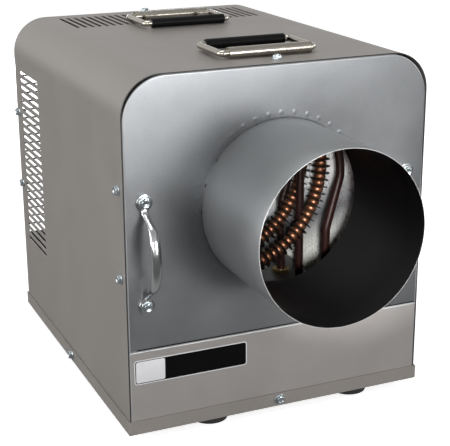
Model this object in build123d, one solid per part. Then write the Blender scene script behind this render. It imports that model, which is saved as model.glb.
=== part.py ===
from build123d import *
import os
from math import cos, pi, radians, sin

# Ducted forced air heater: a folded steel cabinet on rubber feet, with a round
# duct collar in front, two finned heating coils, an axial fan behind them and an
# open wire-guarded intake at the rear.  Millimetres, +Z up, front towards -Y.

os.makedirs("parts", exist_ok=True)

# ---- cabinet ---------------------------------------------------------------
cabinet_width = 394.0
cabinet_depth = 470.0
cabinet_height = 434.0          # underside of the tray to the top face
sheet = 1.2                     # wrap and panels
tray_sheet = 1.6
seam = 0.3                      # gap between sheet parts that lie against each other
corner_radius = 48.0            # outside radius of the wrap's top corners
front_corner_radius = 53.0      # front panel's own corners, a little rounder
tray_skirt = 17.5
split_height = 106.5            # top edge of the lower front panel, above the tray
front_return = 32.0             # depth of the front panel's folded edge
lower_return = 18.0             # the same on the lower front panel
rear_return = 16.0              # the same on the rear panel

# ---- feet ------------------------------------------------------------------
foot_height = 11.0
foot_radius = 26.0
foot_taper = 3.0
foot_left_inset = 114.0         # from the cabinet's sides: a pair is not centred
foot_right_inset = 82.0
foot_inset = 29.0               # from the front edge and from the rear edge
foot_screw_radius = 2.5
foot_bore_play = 0.2
foot_recess_radius = 7.0
foot_recess_depth = 5.0
foot_head_radius = 5.0
foot_head_height = 3.0
nut_flats = 8.0
nut_height = 4.0

# ---- duct collar -----------------------------------------------------------
collar_radius = 101.6           # outside, for 8 inch duct
collar_wall = 0.8
collar_length = 155.0           # ahead of the front panel
collar_flange_radius = 118.0
collar_hole_play = 0.1
collar_shoulder = 0.7           # root of the collar is fuller by this
collar_shoulder_reach = 0.3     # and shows ahead of the panel by this
outlet_height = 267.5           # duct and fan axis above the tray

# ---- slots -----------------------------------------------------------------
slot_pitch = 10.3
slot_width = 5.2
slot_length = 95.0
slot_margin = 25.0              # from the rear edge
side_slot_first = 114.7         # above the tray
side_slot_count = 25
top_slot_count = 27

# ---- rear panel and guard --------------------------------------------------
window_bottom = 114.0
window_top = 366.0
window_side = 6.0               # from the cabinet's sides
guard_wire_radius = 1.2
guard_pitch = 12.5
guard_count = 20
guard_first = 127.1
guard_posts = 5
guard_edge_gap = 4.0            # edge wire beyond the window

# ---- air chamber -----------------------------------------------------------
deck_height = 90.0              # top of the deck above the tray
liner_half = 148.0              # inner face of the liner's walls
liner_sheet = 0.8
liner_top = 422.0               # underside of the liner's roof above the tray
liner_corner = 12.0
liner_foot = 12.0

# ---- fan -------------------------------------------------------------------
shroud_inset = 129.0            # front face of the fan plate, from the rear edge
orifice_radius = 147.0
orifice_lip = 18.0
fan_tip_gap = 5.0
blade_count = 5
blade_root_width = 44.0
blade_tip_width = 84.0
blade_angle = 21.0
blade_sheet = 1.6
blade_corner = 14.0
spider_radius = 34.0
fan_offset = 16.0               # middle of the blades behind the plate's front face
hub_radius = 13.0
hub_flange = 5.0
hub_wall = 5.0                  # round the shaft, through the spider

# ---- motor -----------------------------------------------------------------
motor_offset = 41.0             # front bell's outer face behind the plate's front face
motor_length = 68.0
motor_radius = 42.0
motor_wall = 1.5
bell_thickness = 6.0
bell_boss_radius = 11.0
bell_boss_reach = 4.0
shaft_radius = 3.97
running_gap = 0.05
bearing_radius = 7.0
bearing_length = 12.0
stator_bore = 22.6
stator_length = 34.0
air_gap = 0.4
band_length = 20.0
band_thickness = 2.0
arm_width = 14.0
arm_thickness = 2.5
arm_radius = 166.0              # outer face of the arms' forward legs
arm_foot = 14.0
arm_count = 4

# ---- heating coils ---------------------------------------------------------
coil_radius = 128.8
coil_pitch = 53.4
coil_turns = 2
coil_rise = 1.2                 # coil axis above the duct axis
coil_start = 87.6               # depth of the front leg from the front edge
coil_spacing = 130.0            # from the front coil to the rear coil
coil_overrun_angle = 10.0       # degrees past the last full turn
tube_radius = 5.55
leg_x = 109.5                   # where both legs pass the deck
leg_lead = 6.0                  # straight below the first turn
leg_joggle = 71.0               # height over which the front leg steps inward
leg_bend = 30.0
return_bend = 16.0
return_rise = 30.0
rear_leg_back = 75.0            # rear leg behind the front leg
leg_below = 24.0                # legs under the deck
fin_radius = 12.7
fin_sheet = 0.9
fin_step_angle = 4.0            # degrees along the coil
fin_first_angle = 53.0
fin_last_angle = 722.0
bushing_radius = 8.0
bushing_flats = 22.0
bushing_flange = 4.0
bushing_below = 8.0
terminal_radius = 2.0
terminal_length = 14.0
insulator_radius = 4.4
insulator_length = 6.0
hanger_sheet = 1.2
hanger_reach = 7.0              # hanger past the tube's centre
hanger_flange = 10.0

# ---- pull handles on the front ---------------------------------------------
pull_inset = 24.6               # left handle, from the cabinet's side
pull_height = 225.5             # its middle above the tray
right_pull_inset = 25.8         # the right handle sits a little lower and further in
right_pull_height = 223.0
pull_half = 63.0                # half the bolt spacing
pull_reach = 34.8               # strap's centre line ahead of the panel
pull_lean = 1.5                 # grips lean inwards by this
pull_width = 11.0
pull_strap = 5.0
pull_flat = 3.0                 # thickness of the flattened ends
pull_eye_radius = 10.0
pull_face_gap = 0.4             # round the bolt's flange
pull_grip_half = 30.0
pull_neck = 51.0
pull_bend = 22.0
pull_root_bend = 6.0
bolt_radius = 3.0
bolt_flats = 10.0
bolt_head = 5.0
bolt_flange_radius = 7.2
bolt_flange = 1.4
bolt_length = 14.0
bolt_nut_flats = 11.0
bolt_nut = 5.0

# ---- folding handles on top ------------------------------------------------
handle_centre = 4.5             # middle of both handles, right of the cabinet's middle
front_hinge = 46.5              # hinge line from the front edge
rear_hinge = 100.0              # hinge line from the rear edge
handle_arm = 68.0
hinge_height = 7.0              # above the top face
barrel_shift = 2.0              # the barrel sits this far right of the handle's middle
barrel_half = 54.0
barrel_radius = 6.8
bail_radius = 4.0
bail_half = 61.0                # middle of the handle to the middle of an arm
bail_bend = 6.5                 # at the crossbar
bail_pin_bend = 4.6             # at the hinge pins
bail_pin = 14.0                 # length of the bail inside the barrel
grip_shift = 1.1
grip_half = 53.0
grip_radius = 6.5
grip_round = 1.2
bracket_sheet = 1.5
bracket_tail = 27.0             # bracket behind the hinge line
lug_width = 17.0
lug_shift = 6.7                 # both lugs sit this far right of the handle's middle
lug_x = 39.0
lug_near = 9.0
lug_depth = 8.0
lug_height = 11.0
lug_round = 2.0
bracket_corner = 3.0
rivet_radius = 1.6
rivet_head_radius = 3.2
rivet_head = 1.2
rivet_arm = 22.0

# ---- hex washer-head screws ------------------------------------------------
screw_radius = 2.4
screw_length = 10.0
screw_flats = 9.5
screw_head = 5.0
screw_washer_radius = 6.8
screw_washer = 1.2
hole_play = 0.05
cut_past = 5.0                  # cutting bodies run past the surface they open by this
side_screw_front = 16.7         # from the front edge
side_screw_rear = 9.0           # from the rear edge
side_screw_high = 301.5         # above the tray
side_screw_low = 194.0
tray_screw_height = 9.0
top_screw_front = 24.0
top_screw_front_x = 5.5         # the front one sits off centre
top_screw_rear = 12.0           # from the rear edge

# ---- nameplate -------------------------------------------------------------
plate_width = 146.0
plate_height = 31.5
plate_inset = 6.7               # from the cabinet's left side
plate_bottom = 64.0
plate_sheet = 0.6
plate_corner = 4.0

# ---- controls on the rear panel --------------------------------------------
control_height = 52.0           # above the tray
knob_inset = 77.0               # from the cabinet's right side
knob_radius = 17.0
knob_depth = 15.0
knob_gap = 0.8
knob_shaft_radius = 3.0
knob_shaft_length = 18.0        # inside the panel
knob_shaft_gap = 2.0            # ahead of the shaft's end
knob_hole_play = 1.0
knob_bar = 7.0                  # width of the grip bar
knob_skirt = 0.4                # skirt's share of the knob's depth
thermostat_width = 46.0
thermostat_height = 40.0
thermostat_depth = 28.0
switch_gap = 65.0               # from the knob's axis
switch_width = 20.0
switch_height = 28.0
switch_bezel = 2.2
switch_lip = 1.5                # bezel past the panel's hole
switch_depth = 24.0
rocker_width = 12.0
rocker_half = 9.0
rocker_gap = 0.4
rocker_axle_radius = 1.2
rocker_angle = 18.0
rocker_pivot = 1.5              # pivot inside the panel's outer face
lamp_gap = 45.0                 # from the switch's middle
lamp_radius = 6.0
lamp_rim_radius = 8.0
lamp_depth = 14.0
gland_inset = 67.0              # from the cabinet's left side
gland_bore = 6.5
gland_body_radius = 10.0
gland_dome_radius = 13.0
gland_flats = 28.0
gland_reach = 25.0
gland_inside = 14.0
gland_collar = 6.0
locknut = 5.0

# ---- electrical pieces in the base -----------------------------------------
contactor_x = -60.0
contactor_inset = 240.0         # from the rear edge
contactor_width = 52.0
contactor_length = 68.0
contactor_tall = 52.0
block_x = -20.0
block_inset = 90.0              # from the rear edge
block_width = 92.0
block_length = 30.0
block_tall = 26.0
block_poles = 4
limit_inset = 220.0             # from the rear edge
limit_height = 340.0
limit_radius = 9.0
limit_tall = 8.0
limit_ear = 20.0                # half the length of its mounting strap
limit_ear_half = 6.0
limit_blade = 8.0
limit_blade_gap = 4.0           # from the middle to each blade

# ---- derived places --------------------------------------------------------
rear_reach = gland_reach
front_y = (collar_length - cabinet_depth - rear_reach) / 2
rear_y = front_y + cabinet_depth
tray_z = foot_height
floor_z = tray_z + tray_sheet
top_z = tray_z + cabinet_height
split_z = tray_z + split_height
deck_z = tray_z + deck_height
axis_z = tray_z + outlet_height
coil_z = axis_z + coil_rise
inner_half = cabinet_width / 2 - sheet
fit_half = inner_half - seam
fit_top = top_z - sheet - seam
fit_radius = corner_radius - sheet - seam
deck_half = fit_half - sheet - seam
chamber_front = front_y + front_return + seam
shroud_y = rear_y - shroud_inset
fan_y = shroud_y + fan_offset
motor_y = shroud_y + motor_offset
shroud_back = shroud_y + sheet
hinge_z = top_z + hinge_height
panel_inside = rear_y - sheet
foot_left = foot_left_inset - cabinet_width / 2
foot_right = cabinet_width / 2 - foot_right_inset
knob_x = cabinet_width / 2 - knob_inset
switch_x = knob_x - switch_gap
lamp_x = switch_x - lamp_gap
gland_x = gland_inset - cabinet_width / 2
window_half = cabinet_width / 2 - window_side


# ---- building blocks -------------------------------------------------------
def block(x0, x1, y0, y1, z0, z1):
    """Rectangular solid between two corners."""
    centre = Pos((x0 + x1) / 2, (y0 + y1) / 2, (z0 + z1) / 2)
    return centre * Box(x1 - x0, y1 - y0, z1 - z0)


def rod(radius, start, end):
    """Round bar between two points."""
    a = Vector(*start)
    run = Vector(*end) - a
    return Part() + Solid.make_cylinder(radius, run.length, Plane(origin=a, z_dir=run))


def tube(outer, inner, start, end):
    """Round tube between two points."""
    return rod(outer, start, end) - rod(inner, start, end)


def y_rod(radius, y0, y1, x=0.0, z=0.0):
    return rod(radius, (x, y0, z), (x, y1, z))


def hexagon(flats, height, origin, direction):
    """Hexagonal prism standing on a plane."""
    plane = Plane(origin=origin, z_dir=direction)
    return extrude(plane * RegularPolygon(flats / 2, 6, major_radius=False), height)


def upright(y):
    """Plane across the cabinet: local x is X, local y is Z."""
    return Plane(origin=(0, y, 0), x_dir=(1, 0, 0), z_dir=(0, -1, 0))


def arch(half, bottom, top, radius, y, depth):
    """Slab across the cabinet, rounded at both top corners, reaching back from y."""
    outline = Pos(0, (bottom + top) / 2) * Rectangle(2 * half, top - bottom)
    if radius > 0:
        outline = fillet(outline.vertices().group_by(Axis.Y)[-1], radius)
    return extrude(upright(y) * outline, depth, dir=(0, 1, 0))


def pan(half, bottom, top, radius, y, depth):
    """Sheet panel with its face at y and its edges folded back by depth."""
    step = sheet if depth > 0 else -sheet
    inner_radius = max(radius - sheet, 0)
    hollow = arch(half - sheet, bottom + sheet, top - sheet, inner_radius, y + step, depth)
    return arch(half, bottom, top, radius, y, depth) - hollow


def washer_screw(point, direction, length=screw_length):
    """Hex washer-head screw whose washer face lies on point."""
    origin = Vector(*point)
    out = Vector(*direction)
    head = hexagon(screw_flats, screw_head, origin, out)
    washer = rod(screw_washer_radius, origin, origin + out * screw_washer)
    return head + washer + rod(screw_radius, origin - out * length, origin + out)


def drill(part, point, direction, radius, reach=6.0):
    """Round hole through the sheet at point."""
    origin = Vector(*point)
    out = Vector(*direction)
    return part - rod(radius, origin - out * reach, origin + out * reach)


def nut(flats, height, bore, point, direction):
    origin = Vector(*point)
    out = Vector(*direction)
    return hexagon(flats, height, origin, out) - rod(bore, origin - out, origin + out * (height + 1))


# ---- fastener places -------------------------------------------------------
def side_screw_places():
    """(point, outward direction) of every screw through the wrap's sides."""
    places = []
    for side in (-1, 1):
        for y in (front_y + side_screw_front, rear_y - side_screw_rear):
            for height in (side_screw_low, side_screw_high):
                point = (side * cabinet_width / 2, y, tray_z + height)
                places.append((point, (side, 0, 0)))
    return places


def top_screw_places():
    up = (0, 0, 1)
    front = (top_screw_front_x, front_y + top_screw_front, top_z)
    rear = (0, rear_y - top_screw_rear, top_z)
    return [(front, up), (rear, up)]


def tray_screw_places():
    """Screws through the tray's skirt: front, rear and both sides."""
    z = tray_z + tray_screw_height
    out = seam + tray_sheet
    side_x = cabinet_width / 2 + out
    side_y = (front_y + rear_y) / 2
    return [
        ((0, front_y - out, z), (0, -1, 0)),
        ((0, rear_y + out, z), (0, 1, 0)),
        ((-side_x, side_y, z), (-1, 0, 0)),
        ((side_x, side_y, z), (1, 0, 0)),
    ]


def drill_for(part, places, radius=screw_radius + hole_play):
    for point, direction in places:
        part = drill(part, point, direction, radius)
    return part


def foot_places():
    return [
        (x, y)
        for y in (front_y + foot_inset, rear_y - foot_inset)
        for x in (foot_left, foot_right)
    ]


def pull_middle(side):
    """Middle of a pull handle's bolt pattern on the front panel."""
    if side < 0:
        return pull_inset - cabinet_width / 2, tray_z + pull_height
    return cabinet_width / 2 - right_pull_inset, tray_z + right_pull_height


def pull_bolt_places(side):
    x, z = pull_middle(side)
    return [(x, z + end * pull_half) for end in (-1, 1)]


def guard_screw_places():
    """Centres of the guard's clamp screws on the rear panel."""
    offset = guard_edge_gap + guard_wire_radius + screw_radius + seam
    x = cabinet_width * 0.3
    low = tray_z + window_bottom - offset
    high = tray_z + window_top + offset
    return [(side * x, z) for z in (low, high) for side in (-1, 1)]


def rivet_places(hinge_y, way):
    """Rivets stand on the lands between the top slots."""
    y = hinge_y + way * rivet_arm
    return [(side * slot_pitch * 2.5, y) for side in (-1, 1)]


# ---- cabinet ---------------------------------------------------------------
def slot_cutters_side():
    cutters = []
    y = rear_y - slot_margin - slot_length / 2
    for i in range(side_slot_count):
        z = tray_z + side_slot_first + i * slot_pitch
        plane = Plane(origin=(-cabinet_width, y, z), x_dir=(0, 1, 0), z_dir=(1, 0, 0))
        outline = plane * SlotOverall(slot_length, slot_width)
        cutters.append(extrude(outline, 2 * cabinet_width))
    return cutters


def slot_cutters_top():
    cutters = []
    y = rear_y - slot_margin - slot_length / 2
    for i in range(top_slot_count):
        x = (i - (top_slot_count - 1) / 2) * slot_pitch
        plane = Plane(origin=(x, y, top_z - 2 * sheet), x_dir=(0, 1, 0), z_dir=(0, 0, 1))
        cutters.append(extrude(plane * SlotOverall(slot_length, slot_width), 3 * sheet))
    return cutters


def make_wrap_shell():
    """One sheet folded over both sides and the top."""
    outer = arch(cabinet_width / 2, floor_z, top_z, corner_radius, front_y, cabinet_depth)
    hollow = arch(
        inner_half, floor_z - 1, top_z - sheet, corner_radius - sheet, front_y - 1, cabinet_depth + 2
    )
    wrap = outer - hollow
    wrap = wrap - slot_cutters_side()
    wrap = wrap - slot_cutters_top()
    wrap = drill_for(wrap, side_screw_places() + top_screw_places() + tray_screw_places()[2:])
    for hinge_y, way in handle_lines():
        for x, y in rivet_places(hinge_y, way):
            wrap = drill(wrap, (x, y, top_z), (0, 0, 1), rivet_radius + hole_play)
    return wrap


def make_base_tray():
    out = seam + tray_sheet
    x = cabinet_width / 2 + out
    z1 = tray_z + tray_skirt
    shell = block(-x, x, front_y - out, rear_y + out, tray_z, z1)
    inside = x - tray_sheet
    hollow = block(-inside, inside, front_y - seam, rear_y + seam, floor_z, z1 + 1)
    tray = shell - hollow
    tray = drill_for(tray, tray_screw_places())
    for x, y in foot_places():
        tray = drill(tray, (x, y, tray_z), (0, 0, 1), foot_screw_radius + hole_play)
    return tray


def make_front_panel():
    panel = pan(fit_half, split_z + seam, fit_top, front_corner_radius, front_y, front_return)
    hole = collar_radius + collar_shoulder + collar_hole_play
    panel -= y_rod(hole, front_y - cut_past, front_y + cut_past, z=axis_z)
    for side in (-1, 1):
        for x, z in pull_bolt_places(side):
            panel = drill(panel, (x, front_y, z), (0, -1, 0), bolt_radius + hole_play)
    return drill_for(panel, side_screw_places() + top_screw_places())


def make_lower_front_panel():
    panel = pan(fit_half, floor_z, split_z, 0, front_y, lower_return)
    return drill_for(panel, tray_screw_places()[:1])


def make_outlet_collar():
    """Duct collar with a flange spot-welded behind the front panel."""
    inside = collar_radius - collar_wall
    flange_y = front_y + sheet
    back = flange_y + collar_wall
    body = y_rod(collar_radius, front_y - collar_length, back, z=axis_z)
    body += y_rod(collar_radius + collar_shoulder, front_y - collar_shoulder_reach, back, z=axis_z)
    body += y_rod(collar_flange_radius, flange_y, back, z=axis_z)
    return body - y_rod(inside, front_y - collar_length - cut_past, back + cut_past, z=axis_z)


def make_nameplate():
    x = plate_inset - cabinet_width / 2 + plate_width / 2
    z = tray_z + plate_bottom + plate_height / 2
    outline = Pos(x, z) * RectangleRounded(plate_width, plate_height, plate_corner)
    return extrude(upright(front_y) * outline, plate_sheet)


def make_rear_panel():
    panel = pan(fit_half, floor_z, fit_top, fit_radius, rear_y, -rear_return)
    window = block(
        -window_half, window_half, rear_y - cut_past, rear_y + cut_past,
        tray_z + window_bottom, tray_z + window_top,
    )
    panel -= window
    panel = drill_for(panel, side_screw_places() + top_screw_places() + tray_screw_places()[1:2])
    for x, z in guard_screw_places():
        panel = drill(panel, (x, rear_y, z), (0, 1, 0), screw_radius + hole_play)
    z = tray_z + control_height
    panel = drill(panel, (knob_x, rear_y, z), (0, 1, 0), knob_shaft_radius + knob_hole_play)
    panel = drill(panel, (lamp_x, rear_y, z), (0, 1, 0), lamp_radius + hole_play)
    panel = drill(panel, (gland_x, rear_y, z), (0, 1, 0), gland_body_radius + hole_play)
    inset = 2 * (switch_lip - hole_play)
    return panel - switch_box(switch_width - inset, switch_height - inset, cut_past)


def make_intake_guard():
    """Welded wire mesh against the inside of the rear panel."""
    r = guard_wire_radius
    side = window_half + r + seam
    z0 = tray_z + window_bottom - guard_edge_gap
    z1 = tray_z + window_top + guard_edge_gap
    y = panel_inside - r
    wires = [rod(r, (-side - r / 2, y, z), (side + r / 2, y, z)) for z in (z0, z1)]
    for i in range(guard_count):
        z = tray_z + guard_first + i * guard_pitch
        wires.append(rod(r, (-side - r / 2, y, z), (side + r / 2, y, z)))
    post_y = y - 1.6 * r
    for i in range(guard_posts):
        x = side * (2 * i / (guard_posts - 1) - 1)
        wires.append(rod(r, (x, post_y, z0 - r), (x, post_y, z1 + r)))
    return wires[0] + wires[1:]


def make_guard_screws():
    """Screws with broad washers that clamp the guard's edge wires."""
    screws = []
    back = panel_inside - 3.6 * guard_wire_radius
    for x, z in guard_screw_places():
        head = washer_screw((x, rear_y, z), (0, 1, 0), rear_y - back + 4)
        inner = tube(screw_washer_radius + 1, screw_radius - 0.5, (x, back, z), (x, back - 1.2, z))
        screws.append(head + inner)
    return screws


# ---- feet ------------------------------------------------------------------
def make_foot(x, y):
    cone = Cone(foot_radius - foot_taper, foot_radius, foot_height)
    foot = Pos(x, y, foot_height / 2) * cone
    foot -= rod(foot_screw_radius + foot_bore_play, (x, y, -1), (x, y, foot_height + 1))
    return foot - rod(foot_recess_radius, (x, y, -1), (x, y, foot_recess_depth))


def make_feet(row):
    return [make_foot(x, y) for x, y in foot_places()[2 * row : 2 * row + 2]]


def make_foot_screws():
    screws = []
    for x, y in foot_places():
        low = foot_recess_depth - foot_head_height
        top = floor_z + nut_height + 1.5
        head = rod(foot_head_radius, (x, y, low), (x, y, foot_recess_depth))
        screws.append(head + rod(foot_screw_radius, (x, y, low + 1), (x, y, top)))
    return screws


def make_foot_nuts():
    up = (0, 0, 1)
    bore = foot_screw_radius + hole_play
    return [nut(nut_flats, nut_height, bore, (x, y, floor_z), up) for x, y in foot_places()]


# ---- air chamber -----------------------------------------------------------
def leg_places():
    """Where the coils' four legs pass the deck."""
    return [
        (leg_x, front_y + coil_start + shift + back)
        for shift in (0, coil_spacing)
        for back in (0, rear_leg_back)
    ]


def make_chamber_deck():
    y0 = front_y + sheet + seam
    y1 = rear_y - sheet - seam
    deck = block(-deck_half, deck_half, y0, y1, deck_z - sheet, deck_z)
    for y_edge, y_inner in ((y0, y0 + sheet), (y1 - sheet, y1)):
        deck += block(-deck_half, deck_half, y_edge, y_inner, deck_z - lower_return, deck_z)
    for x, y in leg_places():
        deck = drill(deck, (x, y, deck_z), (0, 0, 1), bushing_radius + hole_play)
    return deck


def make_chamber_liner():
    """Bright inner walls and roof around the coils."""
    y0 = chamber_front
    length = shroud_y - seam - y0
    outer_half = liner_half + liner_sheet
    roof = tray_z + liner_top
    outer = arch(outer_half, deck_z, roof + liner_sheet, liner_corner, y0, length)
    hollow_radius = liner_corner - liner_sheet
    hollow = arch(liner_half, deck_z - 1, roof, hollow_radius, y0 - 1, length + 2)
    liner = outer - hollow
    for side in (-1, 1):
        near = side * (outer_half - liner_sheet / 2)
        far = side * (outer_half + liner_foot)
        x0, x1 = sorted((near, far))
        liner += block(x0, x1, y0, y0 + length, deck_z, deck_z + liner_sheet)
    return liner


def make_fan_shroud():
    """Plate behind the coils with the fan's rolled orifice."""
    plate = arch(fit_half, deck_z, fit_top, fit_radius, shroud_y, sheet)
    plate += y_rod(orifice_radius + sheet, shroud_y, shroud_back + orifice_lip, z=axis_z)
    plate -= y_rod(orifice_radius, shroud_y - 1, shroud_back + orifice_lip + 1, z=axis_z)
    return drill_for(plate, mount_screw_places())


# ---- fan and motor ---------------------------------------------------------
def make_fan_blades():
    """Pressed blades riveted round one spider disc."""
    tip = orifice_radius - fan_tip_gap
    y = fan_y
    root = spider_radius * 0.5
    outline = Polyline(
        (-blade_root_width / 2, root), (blade_root_width / 2, root),
        (blade_tip_width / 2, tip + cut_past), (-blade_tip_width / 2, tip + cut_past), close=True,
    )
    face = make_face(outline) & Circle(tip)
    face = fillet(face.vertices().group_by(Axis.Y)[-1], blade_corner)
    blade = extrude(upright(0) * face, blade_sheet / 2, both=True)
    blade = Rot(0, 0, blade_angle) * blade
    fan = y_rod(spider_radius, y - blade_sheet / 2, y + blade_sheet / 2, z=axis_z)
    for i in range(blade_count):
        fan += Pos(0, y, axis_z) * Rot(0, i * 360 / blade_count, 0) * blade
    return fan - y_rod(hub_neck(), y - fan_depth(), y + fan_depth(), z=axis_z)


def fan_depth():
    """Half the blades' depth along the shaft, with a margin."""
    return blade_tip_width / 2 * sin(radians(blade_angle)) + 2 * blade_sheet


def hub_neck():
    return shaft_radius + hub_wall


def make_fan_hub():
    """Turned hub: its neck carries the blades, its flange lies behind them."""
    y = fan_y
    shoulder = y + hub_neck() * sin(radians(blade_angle)) + blade_sheet
    end = shoulder + hub_flange
    hub = y_rod(hub_neck(), y - fan_depth() / 2, end, z=axis_z)
    hub += y_rod(hub_radius, shoulder, end, z=axis_z)
    return hub - y_rod(shaft_radius, y - fan_depth(), end + 1, z=axis_z)


def make_motor_shaft():
    y0 = fan_y - fan_depth() / 2
    y1 = motor_y + motor_length + bell_boss_reach
    return y_rod(shaft_radius, y0, y1, z=axis_z)


def stator_ends():
    middle = motor_y + motor_length / 2
    return middle - stator_length / 2, middle + stator_length / 2


def make_motor_rotor():
    y0, y1 = stator_ends()
    return tube(stator_bore - air_gap, shaft_radius, (0, y0 + 1, axis_z), (0, y1 - 1, axis_z))


def make_motor_stator():
    y0, y1 = stator_ends()
    outer = motor_radius - motor_wall
    return tube(outer, stator_bore, (0, y0, axis_z), (0, y1, axis_z))


def make_motor_shell():
    y0 = motor_y + bell_thickness
    y1 = motor_y + motor_length - bell_thickness
    inner = motor_radius - motor_wall
    return tube(motor_radius, inner, (0, y0, axis_z), (0, y1, axis_z))


def bearing_span(end):
    """Depths of the front (0) or rear (1) bearing."""
    face = motor_y + end * motor_length
    inward = 1 if end == 0 else -1
    outer = face - inward * bell_boss_reach
    return outer, outer + inward * bearing_length


def make_motor_bell(end):
    """End bell with a boss that holds the bearing."""
    face = motor_y + end * motor_length
    inward = 1 if end == 0 else -1
    y0, y1 = bearing_span(end)
    bell = y_rod(motor_radius, face, face + inward * bell_thickness, z=axis_z)
    bell += y_rod(bell_boss_radius, y0, y1, z=axis_z)
    return bell - y_rod(bearing_radius, y0 - inward, y1 + inward, z=axis_z)


def make_motor_bearings():
    bore = shaft_radius + running_gap
    bearings = []
    for end in (0, 1):
        y0, y1 = bearing_span(end)
        bearings.append(tube(bearing_radius, bore, (0, y0, axis_z), (0, y1, axis_z)))
    return bearings


def arm_angles():
    return [45 + i * 360 / arm_count for i in range(arm_count)]


def make_motor_mount():
    """Clamp band with arms that reach forward to the fan plate."""
    middle = motor_y + motor_length / 2
    y0 = middle - band_length / 2
    y1 = middle + band_length / 2
    mount = y_rod(motor_radius + band_thickness, y0, y1, z=axis_z)
    half = arm_width / 2
    inner = motor_radius + band_thickness / 2
    for angle in arm_angles():
        arm = block(inner, arm_radius, y0, y0 + arm_thickness, -half, half)
        arm += block(arm_radius - arm_thickness, arm_radius, shroud_back, y0 + 1, -half, half)
        foot_end = arm_radius + arm_foot
        arm += block(arm_radius - 1, foot_end, shroud_back, shroud_back + arm_thickness, -half, half)
        hole = screw_radius + hole_play
        arm -= y_rod(hole, shroud_back - 1, shroud_back + cut_past, x=mount_screw_radius())
        mount += Pos(0, 0, axis_z) * Rot(0, -angle, 0) * arm
    return mount - y_rod(motor_radius, y0 - 1, y1 + 1, z=axis_z)


def mount_screw_radius():
    return arm_radius + arm_foot / 2


def mount_screw_places():
    places = []
    for angle in arm_angles():
        x = mount_screw_radius() * cos(radians(angle))
        z = axis_z + mount_screw_radius() * sin(radians(angle))
        places.append(((x, shroud_back + arm_thickness, z), (0, 1, 0)))
    return places


def make_motor_mount_screws():
    return [washer_screw(point, out, screw_length) for point, out in mount_screw_places()]


# ---- heating coils ---------------------------------------------------------
def coil_point(angle, start_y):
    """Point and unit tangent of the coil's centre line at an angle in degrees."""
    a = radians(angle)
    rise = coil_pitch / (2 * pi)
    point = Vector(coil_radius * cos(a), start_y + rise * a, coil_z + coil_radius * sin(a))
    tangent = Vector(-coil_radius * sin(a), rise, coil_radius * cos(a)).normalized()
    return point, tangent


def coil_path(start_y):
    """Up the front leg, back through the turns and down the rear leg."""
    end_angle = coil_turns * 360 + coil_overrun_angle
    bottom = deck_z - leg_below
    start, start_way = coil_point(0, start_y)
    knee = start - start_way * leg_lead
    ankle = Vector(leg_x, start_y, knee.Z - leg_joggle)
    foot = Vector(leg_x, start_y, bottom)
    front = FilletPolyline(foot, ankle, knee, start, radius=[leg_bend, leg_bend])
    end, end_way = coil_point(end_angle, start_y)
    crest = end + end_way * return_rise
    rear_top = Vector(leg_x, start_y + rear_leg_back, crest.Z)
    rear_foot = Vector(leg_x, start_y + rear_leg_back, bottom)
    rear = FilletPolyline(end, crest, rear_top, rear_foot, radius=[return_bend, return_bend])
    turns = Helix(coil_pitch, coil_pitch * end_angle / 360, coil_radius, lefthand=True)
    place = Plane(origin=(0, start_y, coil_z), x_dir=(1, 0, 0), z_dir=(0, 1, 0))
    return front, place * turns, rear


def make_coil_tube(start_y):
    runs = []
    for path in coil_path(start_y):
        section = Plane(origin=path @ 0, z_dir=path % 0) * Circle(tube_radius)
        runs.append(sweep(section, path=path))
    return runs[0] + runs[1] + runs[2]


def make_coil_fins(start_y):
    """Round fins pressed on the tube at an even step."""
    count = int((fin_last_angle - fin_first_angle) / fin_step_angle) + 1
    fins = []
    for i in range(count):
        point, way = coil_point(fin_first_angle + i * fin_step_angle, start_y)
        back = point - way * (fin_sheet / 2)
        front = point + way * (fin_sheet / 2)
        fins.append(tube(fin_radius, tube_radius + hole_play, back, front))
    return fins


def coil_starts():
    return [front_y + coil_start, front_y + coil_start + coil_spacing]


def make_hanger(angle, start_y, reach):
    """Slotted strip between the liner and the turns of one coil."""
    turns_y = [start_y + coil_pitch * (angle / 360 + i) for i in range(coil_turns)]
    half = hanger_sheet / 2
    y0 = turns_y[0] - 1.8 * tube_radius
    y1 = turns_y[-1] + 1.8 * tube_radius
    strip = block(coil_radius - hanger_reach, coil_radius + reach, y0, y1, -half, half)
    edge = coil_radius + reach
    strip += block(edge - hanger_sheet, edge, y0, y1, -half, hanger_flange)
    slot = tube_radius + 2 * hole_play
    for y in turns_y:
        strip -= rod(slot, (coil_radius, y, -2), (coil_radius, y, 2))
        strip -= block(coil_radius - hanger_reach - 1, coil_radius, y - slot, y + slot, -2, 2)
    return Pos(0, 0, coil_z) * Rot(0, -angle, 0) * strip


def make_coil_hangers():
    """One hanger under the roof and one on the left wall for each coil."""
    roof_reach = tray_z + liner_top - coil_z - coil_radius
    wall_reach = liner_half - coil_radius
    hangers = []
    for start_y in coil_starts():
        hangers.append(make_hanger(90, start_y, roof_reach))
        hangers.append(make_hanger(180, start_y, wall_reach))
    return hangers


def make_coil_bushings():
    """Hexagon bushings that carry the legs in the deck."""
    bushings = []
    for x, y in leg_places():
        bush = hexagon(bushing_flats, bushing_flange, (x, y, deck_z), (0, 0, 1))
        bush += rod(bushing_radius, (x, y, deck_z - bushing_below), (x, y, deck_z + 1))
        bore = tube_radius + hole_play
        low = deck_z - bushing_below - cut_past
        bushings.append(bush - rod(bore, (x, y, low), (x, y, deck_z + bushing_flange + cut_past)))
    return bushings


def make_coil_terminals():
    """Ceramic bead and stud at the end of each leg."""
    terminals = []
    top = deck_z - leg_below
    for x, y in leg_places():
        bead = rod(insulator_radius, (x, y, top), (x, y, top - insulator_length))
        stud = rod(terminal_radius, (x, y, top - 1), (x, y, top - insulator_length - terminal_length))
        terminals.append(bead + stud)
    return terminals


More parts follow.
